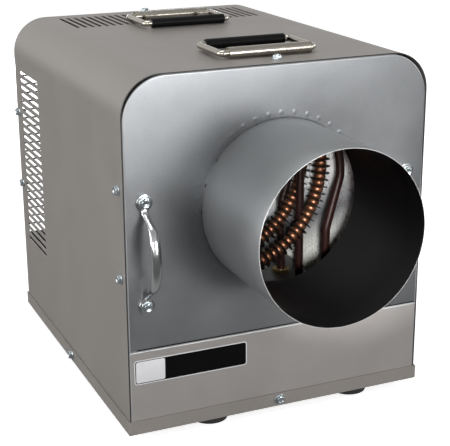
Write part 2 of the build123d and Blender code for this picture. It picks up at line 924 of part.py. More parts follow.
def make_limit_switch():
    """Over-heat cut-out on the outside of the liner's left wall."""
    x = -(liner_half + liner_sheet)
    y = rear_y - limit_inset
    z = tray_z + limit_height
    body = rod(limit_radius, (x, y, z), (x - limit_tall, y, z))
    body += block(x - 1, x, y - limit_ear, y + limit_ear, z - limit_ear_half, z + limit_ear_half)
    for way in (-1, 1):
        y_blade = y + way * limit_blade_gap
        x0 = x - limit_tall - limit_blade
        body += block(x0, x - limit_tall + 1, y_blade - 0.4, y_blade + 0.4, z - 3, z + 3)
    return body


# ---- pull handles ----------------------------------------------------------
def make_pull_handle(side):
    """Drop-forged strap with flattened eyes, bolted to the front panel."""
    x, mid = pull_middle(side)
    lie = pull_strap / 2
    ends = pull_half - pull_eye_radius * 0.6
    shape = [
        (lie, -ends),
        (lie, -pull_neck),
        (pull_reach, -pull_grip_half),
        (pull_reach, pull_grip_half),
        (lie, pull_neck),
        (lie, ends),
    ]
    lean = side * pull_lean / (pull_reach - lie)
    points = [(x - lean * (out - lie), front_y - out, mid + up) for out, up in shape]
    spine = FilletPolyline(*points, radius=[pull_root_bend, pull_bend, pull_bend, pull_root_bend])
    plane = Plane(origin=spine @ 0, x_dir=(1, 0, 0), z_dir=spine % 0)
    strap = sweep(plane * RectangleRounded(pull_width, pull_strap, pull_strap * 0.42), path=spine)
    for _, z in pull_bolt_places(side):
        far = front_y - pull_reach
        strap += y_rod(pull_eye_radius, front_y - pull_flat, front_y, x=x, z=z)
        strap -= y_rod(bolt_flange_radius + pull_face_gap, far, front_y - pull_flat, x=x, z=z)
        strap -= y_rod(bolt_radius + hole_play, far, front_y + cut_past, x=x, z=z)
    return strap


def make_pull_bolts():
    bolts = []
    for side in (-1, 1):
        for x, z in pull_bolt_places(side):
            y = front_y - pull_flat
            head = hexagon(bolt_flats, bolt_head, (x, y, z), (0, -1, 0))
            head += y_rod(bolt_flange_radius, y - bolt_flange, y, x=x, z=z)
            bolts.append(head + y_rod(bolt_radius, y - 1, y + bolt_length, x=x, z=z))
    return bolts


def make_pull_nuts():
    nuts = []
    for side in (-1, 1):
        for x, z in pull_bolt_places(side):
            bore = bolt_radius + hole_play
            nuts.append(nut(bolt_nut_flats, bolt_nut, bore, (x, front_y + sheet, z), (0, 1, 0)))
    return nuts


# ---- folding handles -------------------------------------------------------
def handle_lines():
    """(hinge depth, direction in which the bail lies) of both top handles."""
    return [(front_y + front_hinge, 1), (rear_y - rear_hinge, -1)]


def across(y, half, shift=0.0):
    """Ends of a line along the hinge axis, from the handle's middle plus a shift."""
    middle = handle_centre + shift
    return (middle - half, y, hinge_z), (middle + half, y, hinge_z)


def make_handle_bracket(hinge_y, way):
    """Plate with a rolled barrel and two upturned lugs."""
    z0 = top_z
    barrel = across(hinge_y, barrel_half, barrel_shift)
    left, right = barrel[0][0], barrel[1][0]
    y0, y1 = sorted((hinge_y, hinge_y + way * bracket_tail))
    plate = block(left, right, y0, y1, z0, z0 + bracket_sheet)
    plate = fillet(plate.edges().filter_by(Axis.Z), bracket_corner)
    y0, y1 = sorted((hinge_y + way * (barrel_radius - bracket_sheet), hinge_y + way * barrel_radius))
    body = plate + rod(barrel_radius, *barrel)
    body += block(left, right, y0, y1, z0, hinge_z)
    for side in (-1, 1):
        y0, y1 = sorted((hinge_y + way * lug_near, hinge_y + way * (lug_near + lug_depth)))
        x = handle_centre + lug_shift + side * lug_x
        lug = block(x - lug_width / 2, x + lug_width / 2, y0, y1, z0, z0 + lug_height)
        body += fillet(lug.edges().group_by(Axis.Z)[-1], lug_round)
    body -= rod(bail_radius + running_gap, *across(hinge_y, bail_half))
    for x, y in rivet_places(hinge_y, way):
        body = drill(body, (x, y, z0), (0, 0, 1), rivet_radius + hole_play)
    return body


def make_handle_bail(hinge_y, way):
    """Bent wire: two hinge pins, two arms and the crossbar through the grip."""
    far = hinge_y + way * handle_arm
    pin_left, pin_right = across(hinge_y, barrel_half - bail_pin, barrel_shift)
    near_left, near_right = across(hinge_y, bail_half)
    far_left, far_right = across(far, bail_half)
    path = FilletPolyline(
        pin_left, near_left, far_left, far_right, near_right, pin_right,
        radius=[bail_pin_bend, bail_bend, bail_bend, bail_pin_bend],
    )
    section = Plane(origin=path @ 0, z_dir=path % 0) * Circle(bail_radius)
    return sweep(section, path=path)


def make_handle_grip(hinge_y, way):
    y = hinge_y + way * handle_arm
    grip = rod(grip_radius, *across(y, grip_half, grip_shift))
    grip = fillet(grip.edges(), grip_round)
    return grip - rod(bail_radius + running_gap, *across(y, bail_half, grip_shift))


def make_handle_rivets():
    rivets = []
    for hinge_y, way in handle_lines():
        for x, y in rivet_places(hinge_y, way):
            seat = top_z + bracket_sheet
            head = rod(rivet_head_radius, (x, y, seat), (x, y, seat + rivet_head))
            tail_z = top_z - sheet
            tail = rod(rivet_head_radius, (x, y, tail_z), (x, y, tail_z - rivet_head))
            shank = rod(rivet_radius, (x, y, tail_z - 0.5), (x, y, seat + 0.5))
            rivets.append(head + tail + shank)
    return rivets


# ---- controls --------------------------------------------------------------
def make_thermostat_body():
    z = tray_z + control_height
    y1 = panel_inside
    y0 = y1 - thermostat_depth
    half = thermostat_width / 2
    rise = thermostat_height / 2
    body = block(knob_x - half, knob_x + half, y0, y1, z - rise, z + rise)
    body = fillet(body.edges().filter_by(Axis.Y), 3)
    bore = knob_shaft_radius + running_gap
    return body - y_rod(bore, y1 - knob_shaft_length - knob_shaft_gap, y1 + cut_past, x=knob_x, z=z)


def make_thermostat_knob():
    """Round knob with a grip bar and a shaft into the thermostat."""
    z = tray_z + control_height
    y0 = rear_y + knob_gap
    half = knob_bar / 2
    knob = y_rod(knob_radius, y0, y0 + knob_depth * knob_skirt, x=knob_x, z=z)
    bar = block(knob_x - half, knob_x + half, y0, y0 + knob_depth, z - knob_radius, z + knob_radius)
    bar &= y_rod(knob_radius - 0.6, y0, y0 + knob_depth + 1, x=knob_x, z=z)
    knob += fillet(bar.edges().group_by(Axis.Y)[-1], 1.5)
    return knob + y_rod(knob_shaft_radius, panel_inside - knob_shaft_length, y0 + 1, x=knob_x, z=z)


def switch_box(width, height, depth):
    z = tray_z + control_height
    return block(
        switch_x - width / 2, switch_x + width / 2, rear_y - depth, rear_y + cut_past,
        z - height / 2, z + height / 2,
    )


def make_switch_housing():
    """Snap-in body with a thin bezel outside the panel and a well for the rocker."""
    z = tray_z + control_height
    bezel = block(
        switch_x - switch_width / 2, switch_x + switch_width / 2, rear_y, rear_y + switch_bezel,
        z - switch_height / 2, z + switch_height / 2,
    )
    body = block(
        switch_x - switch_width / 2 + switch_lip, switch_x + switch_width / 2 - switch_lip,
        rear_y - switch_depth, rear_y + 1,
        z - switch_height / 2 + switch_lip, z + switch_height / 2 - switch_lip,
    )
    well_x = rocker_width / 2 + rocker_gap
    well_z = rocker_half + 2.0
    well = block(
        switch_x - well_x, switch_x + well_x, rear_y - rocker_half - 4, rear_y + cut_past,
        z - well_z, z + well_z,
    )
    pivot = (rear_y - rocker_pivot, z)
    axle = rod(rocker_axle_radius, (switch_x - well_x - 1, *pivot), (switch_x + well_x + 1, *pivot))
    return bezel + body - well + axle


def make_switch_rocker():
    """Rocker at its first position, lower end out."""
    z = tray_z + control_height
    tilt = rocker_angle / 2
    half_x = rocker_width / 2
    side = Plane(origin=(switch_x - half_x, rear_y - rocker_pivot, z), x_dir=(0, 1, 0), z_dir=(1, 0, 0))
    outline = Polyline(
        (-4.0, -rocker_half + 2.5), (4.6, -rocker_half), (3.4, 0), (4.6, rocker_half),
        (-4.0, rocker_half - 2.5), close=True,
    )
    rocker = extrude(side * make_face(outline), rocker_width)
    pivot = (rear_y - rocker_pivot, z)
    bore = rocker_axle_radius + running_gap
    rocker -= rod(bore, (switch_x - half_x - 1, *pivot), (switch_x + half_x + 1, *pivot))
    turn = Pos(0, pivot[0], pivot[1]) * Rot(tilt, 0, 0) * Pos(0, -pivot[0], -pivot[1])
    return turn * rocker


def make_pilot_lamp():
    z = tray_z + control_height
    lamp = y_rod(lamp_rim_radius, rear_y, rear_y + 1.6, x=lamp_x, z=z)
    lamp += y_rod(lamp_radius, rear_y - lamp_depth, rear_y + 4, x=lamp_x, z=z)
    return fillet(lamp.edges().group_by(Axis.Y)[-1], 1.5)


def make_cable_gland():
    """Hollow gland with a hexagon against the panel and a round dome nut."""
    z = tray_z + control_height
    gland = hexagon(gland_flats, gland_collar, (gland_x, rear_y, z), (0, 1, 0))
    gland += y_rod(gland_dome_radius, rear_y + 1, rear_y + gland_reach, x=gland_x, z=z)
    gland = fillet(gland.edges().group_by(Axis.Y)[-1], 2.5)
    gland += y_rod(gland_body_radius, rear_y - sheet - gland_inside, rear_y + 1, x=gland_x, z=z)
    inner_end = rear_y - sheet - gland_inside
    return gland - y_rod(gland_bore, inner_end - cut_past, rear_y + gland_reach + cut_past, x=gland_x, z=z)


def make_gland_locknut():
    z = tray_z + control_height
    bore = gland_body_radius + hole_play
    return nut(gland_flats, locknut, bore, (gland_x, panel_inside, z), (0, -1, 0))


def make_contactor():
    """Definite-purpose relay standing on the tray."""
    y = rear_y - contactor_inset
    half = contactor_width / 2
    long_half = contactor_length / 2
    base = block(
        contactor_x - half - 6, contactor_x + half + 6, y - long_half, y + long_half,
        floor_z, floor_z + 3,
    )
    body = block(
        contactor_x - half, contactor_x + half, y - long_half * 0.8, y + long_half * 0.8,
        floor_z, floor_z + contactor_tall,
    )
    relay = base + fillet(body.edges().group_by(Axis.Z)[-1], 2)
    for end in (-1, 1):
        for pole in (-1, 1):
            x = contactor_x + pole * half * 0.5
            lug_y = y + end * long_half * 0.55
            top = floor_z + contactor_tall
            relay += rod(4, (x, lug_y, top - 1), (x, lug_y, top + 4))
    return relay


def make_terminal_block():
    """Barrier strip for the supply leads."""
    y = rear_y - block_inset
    half = block_width / 2
    strip = block(
        block_x - half, block_x + half, y - block_length / 2, y + block_length / 2,
        floor_z, floor_z + block_tall * 0.6,
    )
    step = block_width / block_poles
    for i in range(block_poles + 1):
        x = block_x - half + i * step
        x0 = max(x - 1.5, block_x - half)
        x1 = min(x + 1.5, block_x + half)
        strip += block(x0, x1, y - block_length / 2, y + block_length / 2, floor_z, floor_z + block_tall)
    for i in range(block_poles):
        x = block_x - half + (i + 0.5) * step
        for way in (-1, 1):
            screw_y = y + way * block_length / 4
            top = floor_z + block_tall * 0.6
            strip += rod(4, (x, screw_y, top - 1), (x, screw_y, top + 3))
    return strip


# ---- write every piece -----------------------------------------------------
def pieces():
    """Node name and solid, or list of solids, of every piece."""
    front_coil, rear_coil = coil_starts()
    front_line, rear_line = handle_lines()
    return {
        "wrap_shell": make_wrap_shell(),
        "base_tray": make_base_tray(),
        "front_panel": make_front_panel(),
        "lower_front_panel": make_lower_front_panel(),
        "outlet_collar": make_outlet_collar(),
        "blank_nameplate": make_nameplate(),
        "rear_panel": make_rear_panel(),
        "intake_guard": make_intake_guard(),
        "guard_screws": make_guard_screws(),
        "front_feet": make_feet(0),
        "rear_feet": make_feet(1),
        "foot_screws": make_foot_screws(),
        "foot_nuts": make_foot_nuts(),
        "chamber_deck": make_chamber_deck(),
        "chamber_liner": make_chamber_liner(),
        "fan_shroud": make_fan_shroud(),
        "fan_blades": make_fan_blades(),
        "fan_hub": make_fan_hub(),
        "motor_shaft": make_motor_shaft(),
        "motor_rotor": make_motor_rotor(),
        "motor_stator": make_motor_stator(),
        "motor_shell": make_motor_shell(),
        "motor_front_bell": make_motor_bell(0),
        "motor_rear_bell": make_motor_bell(1),
        "motor_bearings": make_motor_bearings(),
        "motor_mount": make_motor_mount(),
        "motor_mount_screws": make_motor_mount_screws(),
        "front_coil_tube": make_coil_tube(front_coil),
        "front_coil_fins": make_coil_fins(front_coil),
        "rear_coil_tube": make_coil_tube(rear_coil),
        "rear_coil_fins": make_coil_fins(rear_coil),
        "coil_hangers": make_coil_hangers(),
        "coil_bushings": make_coil_bushings(),
        "coil_terminals": make_coil_terminals(),
        "limit_switch": make_limit_switch(),
        "contactor": make_contactor(),
        "terminal_block": make_terminal_block(),
        "thermostat_body": make_thermostat_body(),
        "thermostat_knob": make_thermostat_knob(),
        "switch_housing": make_switch_housing(),
        "switch_rocker": make_switch_rocker(),
        "pilot_lamp": make_pilot_lamp(),
        "cable_gland": make_cable_gland(),
        "gland_locknut": make_gland_locknut(),
        "left_pull_handle": make_pull_handle(-1),
        "right_pull_handle": make_pull_handle(1),
        "pull_handle_bolts": make_pull_bolts(),
        "pull_handle_nuts": make_pull_nuts(),
        "front_handle_bracket": make_handle_bracket(*front_line),
        "front_handle_bail": make_handle_bail(*front_line),
        "front_handle_grip": make_handle_grip(*front_line),
        "rear_handle_bracket": make_handle_bracket(*rear_line),
        "rear_handle_bail": make_handle_bail(*rear_line),
        "rear_handle_grip": make_handle_grip(*rear_line),
        "handle_rivets": make_handle_rivets(),
        "side_screws": [washer_screw(*place) for place in side_screw_places()],
        "top_screws": [washer_screw(*place) for place in top_screw_places()],
        "tray_screws": [washer_screw(*place) for place in tray_screw_places()],
    }


def write(name, shape):
    solids = shape if isinstance(shape, list) else [shape]
    children = [solid for item in solids for solid in item.solids()]
    model = Compound(children=children) if len(children) > 1 else children[0]
    export_step(model, os.path.join("parts", name + ".step"))


for node, shape in pieces().items():
    write(node, shape)
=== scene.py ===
import bpy
import bmesh
import math
from mathutils import Euler, Matrix, Vector


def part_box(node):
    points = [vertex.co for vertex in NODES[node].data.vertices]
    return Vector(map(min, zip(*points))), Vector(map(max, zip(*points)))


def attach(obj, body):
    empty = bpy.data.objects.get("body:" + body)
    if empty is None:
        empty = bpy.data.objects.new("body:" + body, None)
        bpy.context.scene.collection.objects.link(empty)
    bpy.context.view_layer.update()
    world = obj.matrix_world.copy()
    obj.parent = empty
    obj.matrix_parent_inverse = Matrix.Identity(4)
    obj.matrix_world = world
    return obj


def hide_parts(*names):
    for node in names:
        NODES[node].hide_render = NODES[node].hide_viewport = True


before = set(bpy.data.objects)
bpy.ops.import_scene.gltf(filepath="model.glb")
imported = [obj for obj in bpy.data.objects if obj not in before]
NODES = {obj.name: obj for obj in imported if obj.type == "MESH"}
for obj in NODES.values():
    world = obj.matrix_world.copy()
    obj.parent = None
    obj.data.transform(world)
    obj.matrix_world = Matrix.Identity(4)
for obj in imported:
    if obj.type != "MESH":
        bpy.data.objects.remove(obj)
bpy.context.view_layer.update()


# ---------------------------------------- sizes, in millimetres, from the frame
def corners(node):
    """A CAD node's lowest and highest corner, to a tenth of a millimetre."""
    return [[round(c * 1000, 1) for c in corner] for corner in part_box(node)]


def middle(node):
    low, high = corners(node)
    return [round((a + b) / 2, 1) for a, b in zip(low, high)]


def screw_corners(node, radius):
    """Corners of the box between a node's outermost screws, from axis to axis."""
    low, high = corners(node)
    return [c + radius for c in low], [c - radius for c in high]


HALF, REAR, TOP = corners("wrap_shell")[1]   # half the width, rear face, roof
FRONT = corners("wrap_shell")[0][1]
MOUTH = corners("outlet_collar")[0][1]
AXIS = middle("outlet_collar")[2]            # height of the duct's axis
COLLAR_R = 203.2 / 2                         # 8 inch duct
COLLAR_WALL = 0.8
SHEET = 1.2                                  # steel of the panels
GUARD_WIRE_R = 1.2
GUARD_THICK = 3.6 * GUARD_WIRE_R             # two layers of wire, sunk together at the welds

# the coils' centre lines, as the CAD draws them
COIL_Z = AXIS + 1.2
COIL_R = 128.8
COIL_PITCH = 53.4
COIL_STARTS = {"front": FRONT + 87.6, "rear": FRONT + 217.6}
COIL_TURN = (53.0, 722.0)                    # where the fins start and end, in degrees
HANGER_TURNS = (90, 180)                     # a strip takes the place of a rolled collar

# which side a fixed pull handle is on, and its bolts below and above its middle
PULLS = {"left": -1, "right": 1}
PULL_BOLTS = (-63.0, 63.0)

# controls on the rear panel, all at one height
KNOB_X, _, CONTROLS_Z = middle("thermostat_knob")
SWITCH_X = middle("switch_housing")[0]
LAMP_X = middle("pilot_lamp")[0]
GLAND_X = middle("cable_gland")[0]


# ---------------------------------------------------------------- shader nodes
def new_material(name):
    mat = bpy.data.materials.new(name)
    mat.use_nodes = True
    tree = mat.node_tree
    return mat, tree, tree.nodes["Principled BSDF"]


def add(tree, kind, **values):
    node = tree.nodes.new(kind)
    for key, value in values.items():
        setattr(node, key, value)
    return node


def feed(tree, socket, value):
    """Link another socket to this one, or set it to a constant."""
    if isinstance(value, bpy.types.NodeSocket):
        tree.links.new(value, socket)
    else:
        socket.default_value = value


def maths(tree, operation, *values):
    node = add(tree, "ShaderNodeMath", operation=operation)
    for socket, value in zip(node.inputs, values):
        feed(tree, socket, value)
    return node.outputs[0]


def length_of(tree, a, b):
    """Length of a vector with two parts at right angles."""
    squares = maths(tree, "MULTIPLY", a, a), maths(tree, "MULTIPLY", b, b)
    return maths(tree, "SQRT", maths(tree, "ADD", *squares))


def object_coords(tree):
    return add(tree, "ShaderNodeTexCoord").outputs["Object"]


def part_of(tree, coords, axis):
    parts = add(tree, "ShaderNodeSeparateXYZ")
    tree.links.new(coords, parts.inputs[0])
    return parts.outputs[axis]


def map_range(tree, value, source, target=(0.0, 1.0), curve="LINEAR"):
    """Carry a value from one span to another, held at both ends."""
    node = add(tree, "ShaderNodeMapRange", interpolation_type=curve)
    tree.links.new(value, node.inputs["Value"])
    for name, number in zip(("From Min", "From Max", "To Min", "To Max"), (*source, *target)):
        node.inputs[name].default_value = number
    return node.outputs["Result"]


def noise(tree, coords, scale, detail=2.0, rough=0.5):
    node = add(tree, "ShaderNodeTexNoise")
    tree.links.new(coords, node.inputs["Vector"])
    node.inputs["Scale"].default_value = scale
    node.inputs["Detail"].default_value = detail
    node.inputs["Roughness"].default_value = rough
    return node.outputs["Fac"]


def ramp(tree, fac, stops):
    node = add(tree, "ShaderNodeValToRGB")
    elements = node.color_ramp.elements
    while len(elements) > 1:
        elements.remove(elements[-1])
    elements[0].position = stops[0][0]
    elements[0].color = (*stops[0][1], 1)
    for position, colour in stops[1:]:
        elements.new(position).color = (*colour, 1)
    tree.links.new(fac, node.inputs["Fac"])
    return node.outputs["Color"]


def raise_by(tree, height, depth, normal=None):
    """Bump from a height of 0 to 1, with its depth in metres, on top of another bump."""
    node = add(tree, "ShaderNodeBump")
    node.inputs["Distance"].default_value = depth
    tree.links.new(height, node.inputs["Height"])
    if normal:
        tree.links.new(normal, node.inputs["Normal"])
    return node.outputs["Normal"]


def mix_shaders(tree, share, first, second):
    node = add(tree, "ShaderNodeMixShader")
    for socket, value in zip(node.inputs, (share, first, second)):
        tree.links.new(value, socket)
    return node.outputs[0]


# ---------------------------------------------------------------- materials
def surface(name, base, spread=0.06, metallic=0.0, rough=0.5, rough_spread=0.08,
            grain=700.0, grain_depth=0.00006, blotch=14.0, coat=0.0, spec=0.5):
    """Base colour with broad blotches and fine grain, uneven roughness and a fine bump."""
    mat, tree, shader = new_material(name)
    coords = object_coords(tree)
    broad = noise(tree, coords, blotch, 3.0, 0.6)
    fine = noise(tree, coords, grain, 2.0, 0.6)
    mean = maths(tree, "MULTIPLY", maths(tree, "ADD", broad, fine), 0.5)
    low = tuple(c * (1 - spread) for c in base)
    high = tuple(min(1.0, c * (1 + spread)) for c in base)
    roughness = (rough - rough_spread, rough + rough_spread)
    looks = {
        "Base Color": ramp(tree, mean, [(0.35, low), (0.65, high)]),
        "Roughness": map_range(tree, mean, (0.3, 0.7), roughness),
        "Metallic": metallic,
        "Coat Weight": coat,
        "Specular IOR Level": spec,
        "Normal": raise_by(tree, fine, grain_depth),
    }
    for socket, value in looks.items():
        feed(tree, shader.inputs[socket], value)
    return mat


def tint(mat, factor, colour, blend="MIX"):
    """Mix a colour into what a surface has for its base colour."""
    tree = mat.node_tree
    base = tree.nodes["Principled BSDF"].inputs["Base Color"]
    mix = add(tree, "ShaderNodeMix", data_type="RGBA", blend_type=blend)
    feed(tree, mix.inputs["Factor"], factor)
    feed(tree, mix.inputs["A"], base.links[0].from_socket)
    feed(tree, mix.inputs["B"], colour)
    tree.links.new(mix.outputs["Result"], base)


def dimpled(mat, height, radius, count, size, depth):
    """Add a ring of small round dimples about the duct's axis to a surface's bump."""
    tree = mat.node_tree
    normal = tree.nodes["Principled BSDF"].inputs["Normal"]
    coords = object_coords(tree)
    x = part_of(tree, coords, "X")
    z = maths(tree, "SUBTRACT", part_of(tree, coords, "Z"), height)
    step = 2 * math.pi / count
    turn = maths(tree, "DIVIDE", maths(tree, "ARCTAN2", z, x), step)
    past = maths(tree, "SUBTRACT", turn, maths(tree, "ROUND", turn))
    along = maths(tree, "MULTIPLY", past, step * radius)
    out = maths(tree, "SUBTRACT", length_of(tree, x, z), radius)
    dimple = map_range(tree, length_of(tree, along, out), (size, 0.0), curve="SMOOTHSTEP")
    tree.links.new(raise_by(tree, dimple, depth, normal.links[0].from_socket), normal)


def painted_shade_ahead(mat, y):
    """Painted shade ahead of a plane: the dark gap at a sheet's cut front edge, or a rear sheet's
    unlit inner face.
    """
    tree = mat.node_tree
    ahead = maths(tree, "LESS_THAN", part_of(tree, object_coords(tree), "Y"), y)
    tint(mat, ahead, (0.02, 0.02, 0.021, 1))


def painted_light_low(mat, low, high, lit_colour):
    """Painted light: paler towards the bottom, between two heights."""
    tree = mat.node_tree
    z = part_of(tree, object_coords(tree), "Z")
    tint(mat, map_range(tree, z, (high, low), curve="SMOOTHSTEP"), (*lit_colour, 1))


# painted reflection: a band on the chamber's wall, light, dark and light again
REFLECTION_SLOPE = 0.495     # how far the band falls towards the rear
REFLECTION_WAVER = 0.02      # how far its edges wander, in metres
REFLECTION_BAND = [          # height at the middle of the cabinet, in metres, and the tint there
    (0.130, (0.95, 0.95, 0.88)),
    (0.172, (0.6, 0.6, 0.58)),
    (0.206, (0.13, 0.13, 0.14)),
    (0.232, (0.33, 0.33, 0.34)),
    (0.262, (1, 1, 1)),
]


def painted_reflection_band(mat):
    """Painted reflection: a sloping band of the chamber's wall, dark between paler parts, stands in
    for what the wall mirrors.
    """
    tree = mat.node_tree
    coords = object_coords(tree)
    y, z = (part_of(tree, coords, axis) for axis in "YZ")
    sloping = maths(tree, "MULTIPLY_ADD", y, REFLECTION_SLOPE, z)
    wavering = maths(tree, "MULTIPLY_ADD", noise(tree, coords, 18.0), REFLECTION_WAVER, sloping)
    tint(mat, 1.0, ramp(tree, wavering, REFLECTION_BAND), "MULTIPLY")


def dress(mat, *names):
    for name in names:
        mesh = NODES[name].data
        mesh.materials.clear()
        mesh.materials.append(mat)


# paint
PAINT = (0.257, 0.238, 0.221)
SHELL = surface("shell_paint", PAINT, metallic=0.2, rough=0.45)
BACK = surface("rear_paint", PAINT, metallic=0.2, rough=0.45)
WRAP = surface("wrap_paint", (0.25, 0.232, 0.216), metallic=0.2, rough=0.45)
PANEL = surface("panel_paint", (0.27, 0.278, 0.287), spread=0.12, metallic=1.0, rough=0.33,
                rough_spread=0.03, grain_depth=0.00012)
COVER = surface("cover_paint", (0.324, 0.305, 0.292), metallic=0.35, rough=0.42)
COLLAR = surface("collar_paint", (0.192, 0.2, 0.206), metallic=0.55, rough=0.38)
# painted shade: near black for the unlit inside of the collar, the shadow at its root and the
# shaded lower fold of the panel
PAINTED_SHADE = surface("collar_inside_painted_shade", (0.0016, 0.0014, 0.0016), rough=0.42, rough_spread=0.05, spec=0.12)
# painted highlight along the folded edges of the front sheets
FOLD_HIGHLIGHT = surface("folded_edge_highlight", (0.46, 0.47, 0.48), metallic=0.3, rough=0.35)
PLATE = surface("plate_black", (0.001, 0.001, 0.001), rough=0.4, spec=0.08)
FIELD = surface("plate_field", (0.72, 0.72, 0.74), rough=0.35)
# painted shade: the chamber's deck is near black for the shade it lies in
SHADED_DECK = surface("deck_painted_shade", (0.012, 0.012, 0.012), rough=0.4)
MOTOR = surface("motor_paint", (0.03, 0.03, 0.033), rough=0.4)
MARK = surface("white_marking", (0.75, 0.75, 0.73), rough=0.5)

# metal
LIP = surface("bare_edge", (0.55, 0.55, 0.54), metallic=0.7, rough=0.4)
ZINC = surface("zinc", (0.46, 0.51, 0.535), metallic=1.0, rough=0.27, grain=2500)
# painted shade: the guard's wire is dark for the shade it lies in inside the cabinet
WIRE = surface("guard_wire", (0.10, 0.105, 0.11), metallic=0.9, rough=0.38, grain=2500)
BRIGHT = surface("bright_plating", (0.6, 0.605, 0.61), metallic=1.0, rough=0.14,
                 rough_spread=0.05, grain=1800, grain_depth=0.00002)
NICKEL = surface("nickel", (0.43, 0.40, 0.35), metallic=1.0, rough=0.2, grain=2500)
HANGER = surface("hanger_steel", (0.012, 0.011, 0.010), rough=0.5, spec=0.2)
GALV = surface("galvanised", (0.58, 0.59, 0.6), metallic=0.35, rough=0.4, spread=0.1)
# painted reflection: the near-white base stands in for the wall's bright reflections
LINER = surface("liner_zinc", (0.90, 0.90, 0.89), spread=0.02, metallic=0.3, rough=0.28,
                rough_spread=0.03, grain=160, grain_depth=0.000002)
SHEATH = surface("sheath", (0.010, 0.0035, 0.0028), metallic=0.3, rough=0.32, spec=0.3)
FIN = surface("fin_edge", (0.006, 0.004, 0.003), rough=0.45, spread=0.3, spec=0.12)
BEAD = surface("fin_collar", (0.135, 0.058, 0.031), metallic=0.9, rough=0.42, spread=0.35,
               blotch=90)
BRASS = surface("brass", (0.55, 0.38, 0.15), metallic=1.0, rough=0.35)
ALU = surface("aluminium", (0.66, 0.67, 0.68), metallic=1.0, rough=0.35)
IRON = surface("iron", (0.2, 0.19, 0.18), metallic=0.8, rough=0.5)

# plastic, rubber and ceramic
BLACK = surface("black_moulding", (0.004, 0.004, 0.004), rough=0.42, spec=0.12)
GREY = surface("grey_moulding", (0.10, 0.10, 0.105), rough=0.5)
RUBBER = surface("rubber", (0.02, 0.02, 0.02), rough=0.7)
AMBER = surface("amber_lens", (0.75, 0.22, 0.02), rough=0.15, coat=0.5)
CERAMIC = surface("ceramic", (0.75, 0.72, 0.66), rough=0.3)

dimpled(PANEL, height=AXIS / 1000, radius=0.1085, count=40, size=0.0042, depth=0.00018)
# painted shade in the gap at the wrap's front edge
painted_shade_ahead(WRAP, (FRONT + 0.3) / 1000)
# painted shade on the rear panel's inner face, seen through the slots
painted_shade_ahead(BACK, (REAR - 0.6) / 1000)
# painted reflection on the chamber's wall
painted_reflection_band(LINER)
# painted light on the lower inside of the collar
painted_light_low(PAINTED_SHADE, low=0.175, high=0.30, lit_colour=(0.0062, 0.0059, 0.0061))

# the CAD nodes that are shown; the others are replaced below
dress(WRAP, "wrap_shell")
dress(SHELL, "base_tray")
dress(BACK, "rear_panel")
dress(ZINC, "foot_screws", "foot_nuts", "pull_handle_nuts", "handle_rivets",
      "motor_mount_screws", "motor_mount", "gland_locknut", "motor_shaft")
dress(WIRE, "intake_guard")
dress(NICKEL, "front_handle_bracket", "rear_handle_bracket",
      "front_handle_bail", "rear_handle_bail")
dress(BLACK, "front_handle_grip", "rear_handle_grip", "switch_housing", "switch_rocker",
      "contactor")
dress(RUBBER, "front_feet", "rear_feet")
dress(GALV, "fan_shroud")
dress(LINER, "chamber_liner")
dress(HANGER, "coil_hangers")
dress(SHADED_DECK, "chamber_deck")
dress(SHEATH, "front_coil_tube", "rear_coil_tube")
dress(BRASS, "coil_bushings", "motor_bearings")
dress(CERAMIC, "coil_terminals")
dress(ALU, "fan_blades", "fan_hub")
dress(MOTOR, "motor_shell", "motor_front_bell", "motor_rear_bell")
dress(IRON, "motor_rotor", "motor_stator")
dress(GREY, "limit_switch", "terminal_block", "thermostat_body")


# ------------------------------------------------------------- mesh building
SHARP = math.radians(35.0)


class Shape:
    """Vertices and faces in millimetres, each face with a material number."""

    def __init__(self):
        self.verts = []
        self.faces = []
        self.slots = []

    def ring(self, points):
        start = len(self.verts)
        self.verts.extend(points)
        return list(range(start, start + len(points)))

    def face(self, corner_numbers, slot=0):
        self.faces.append(corner_numbers)
        self.slots.append(slot)

    def bridge(self, a, b, slot=0, closed=True):
        """Join two rings of as many points with a band of faces."""
        count = len(a)
        for i in range(count if closed else count - 1):
            j = (i + 1) % count
            self.face([a[i], a[j], b[j], b[i]], slot)

    def skin(self, rings, slot=0, closed=True):
        """Join each ring to the next one."""
        for first, second in zip(rings, rings[1:]):
            self.bridge(first, second, slot, closed)

    def caps(self, rings, slot=0):
        """Close the first and the last ring."""
        self.face(rings[0], slot)
        self.face(rings[-1], slot)

    def build(self, name, mats, body, *nodes):
        """Make the piece, which rides on a body and may stand for CAD nodes."""
        mesh = bpy.data.meshes.new(name)
        mesh.from_pydata([tuple(c / 1000 for c in v) for v in self.verts], [], self.faces)
        for mat in mats:
            mesh.materials.append(mat)
        for polygon, slot in zip(mesh.polygons, self.slots):
            polygon.material_index = slot
            polygon.use_smooth = True
        work = bmesh.new()
        work.from_mesh(mesh)
        bmesh.ops.recalc_face_normals(work, faces=work.faces)
        work.to_mesh(mesh)
        work.free()
        mesh.set_sharp_from_angle(angle=SHARP)
        obj = bpy.data.objects.new(name, mesh)
        bpy.context.scene.collection.objects.link(obj)
        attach(obj, body)
        if nodes:
            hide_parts(*nodes)
        return obj


def turns(count):
    """Equal steps round a circle, in radians."""
    return [2 * math.pi * i / count for i in range(count)]


def spoke(a, b, turn, radius):
    """From a circle's middle to a point of it, in the plane of two unit vectors."""
    return (a * math.cos(turn) + b * math.sin(turn)) * radius


def upright(x, y, z, radius, turn):
    """Point of a circle that faces the front or the rear."""
    return x + radius * math.cos(turn), y, z + radius * math.sin(turn)


def side_axes(direction):
    """A direction and two more across it, as unit vectors."""
    way = Vector(direction).normalized()
    start = Vector((0, 0, 1)) if abs(way.z) < 0.9 else Vector((1, 0, 0))
    across = way.cross(start).normalized()
    return way, across, way.cross(across)


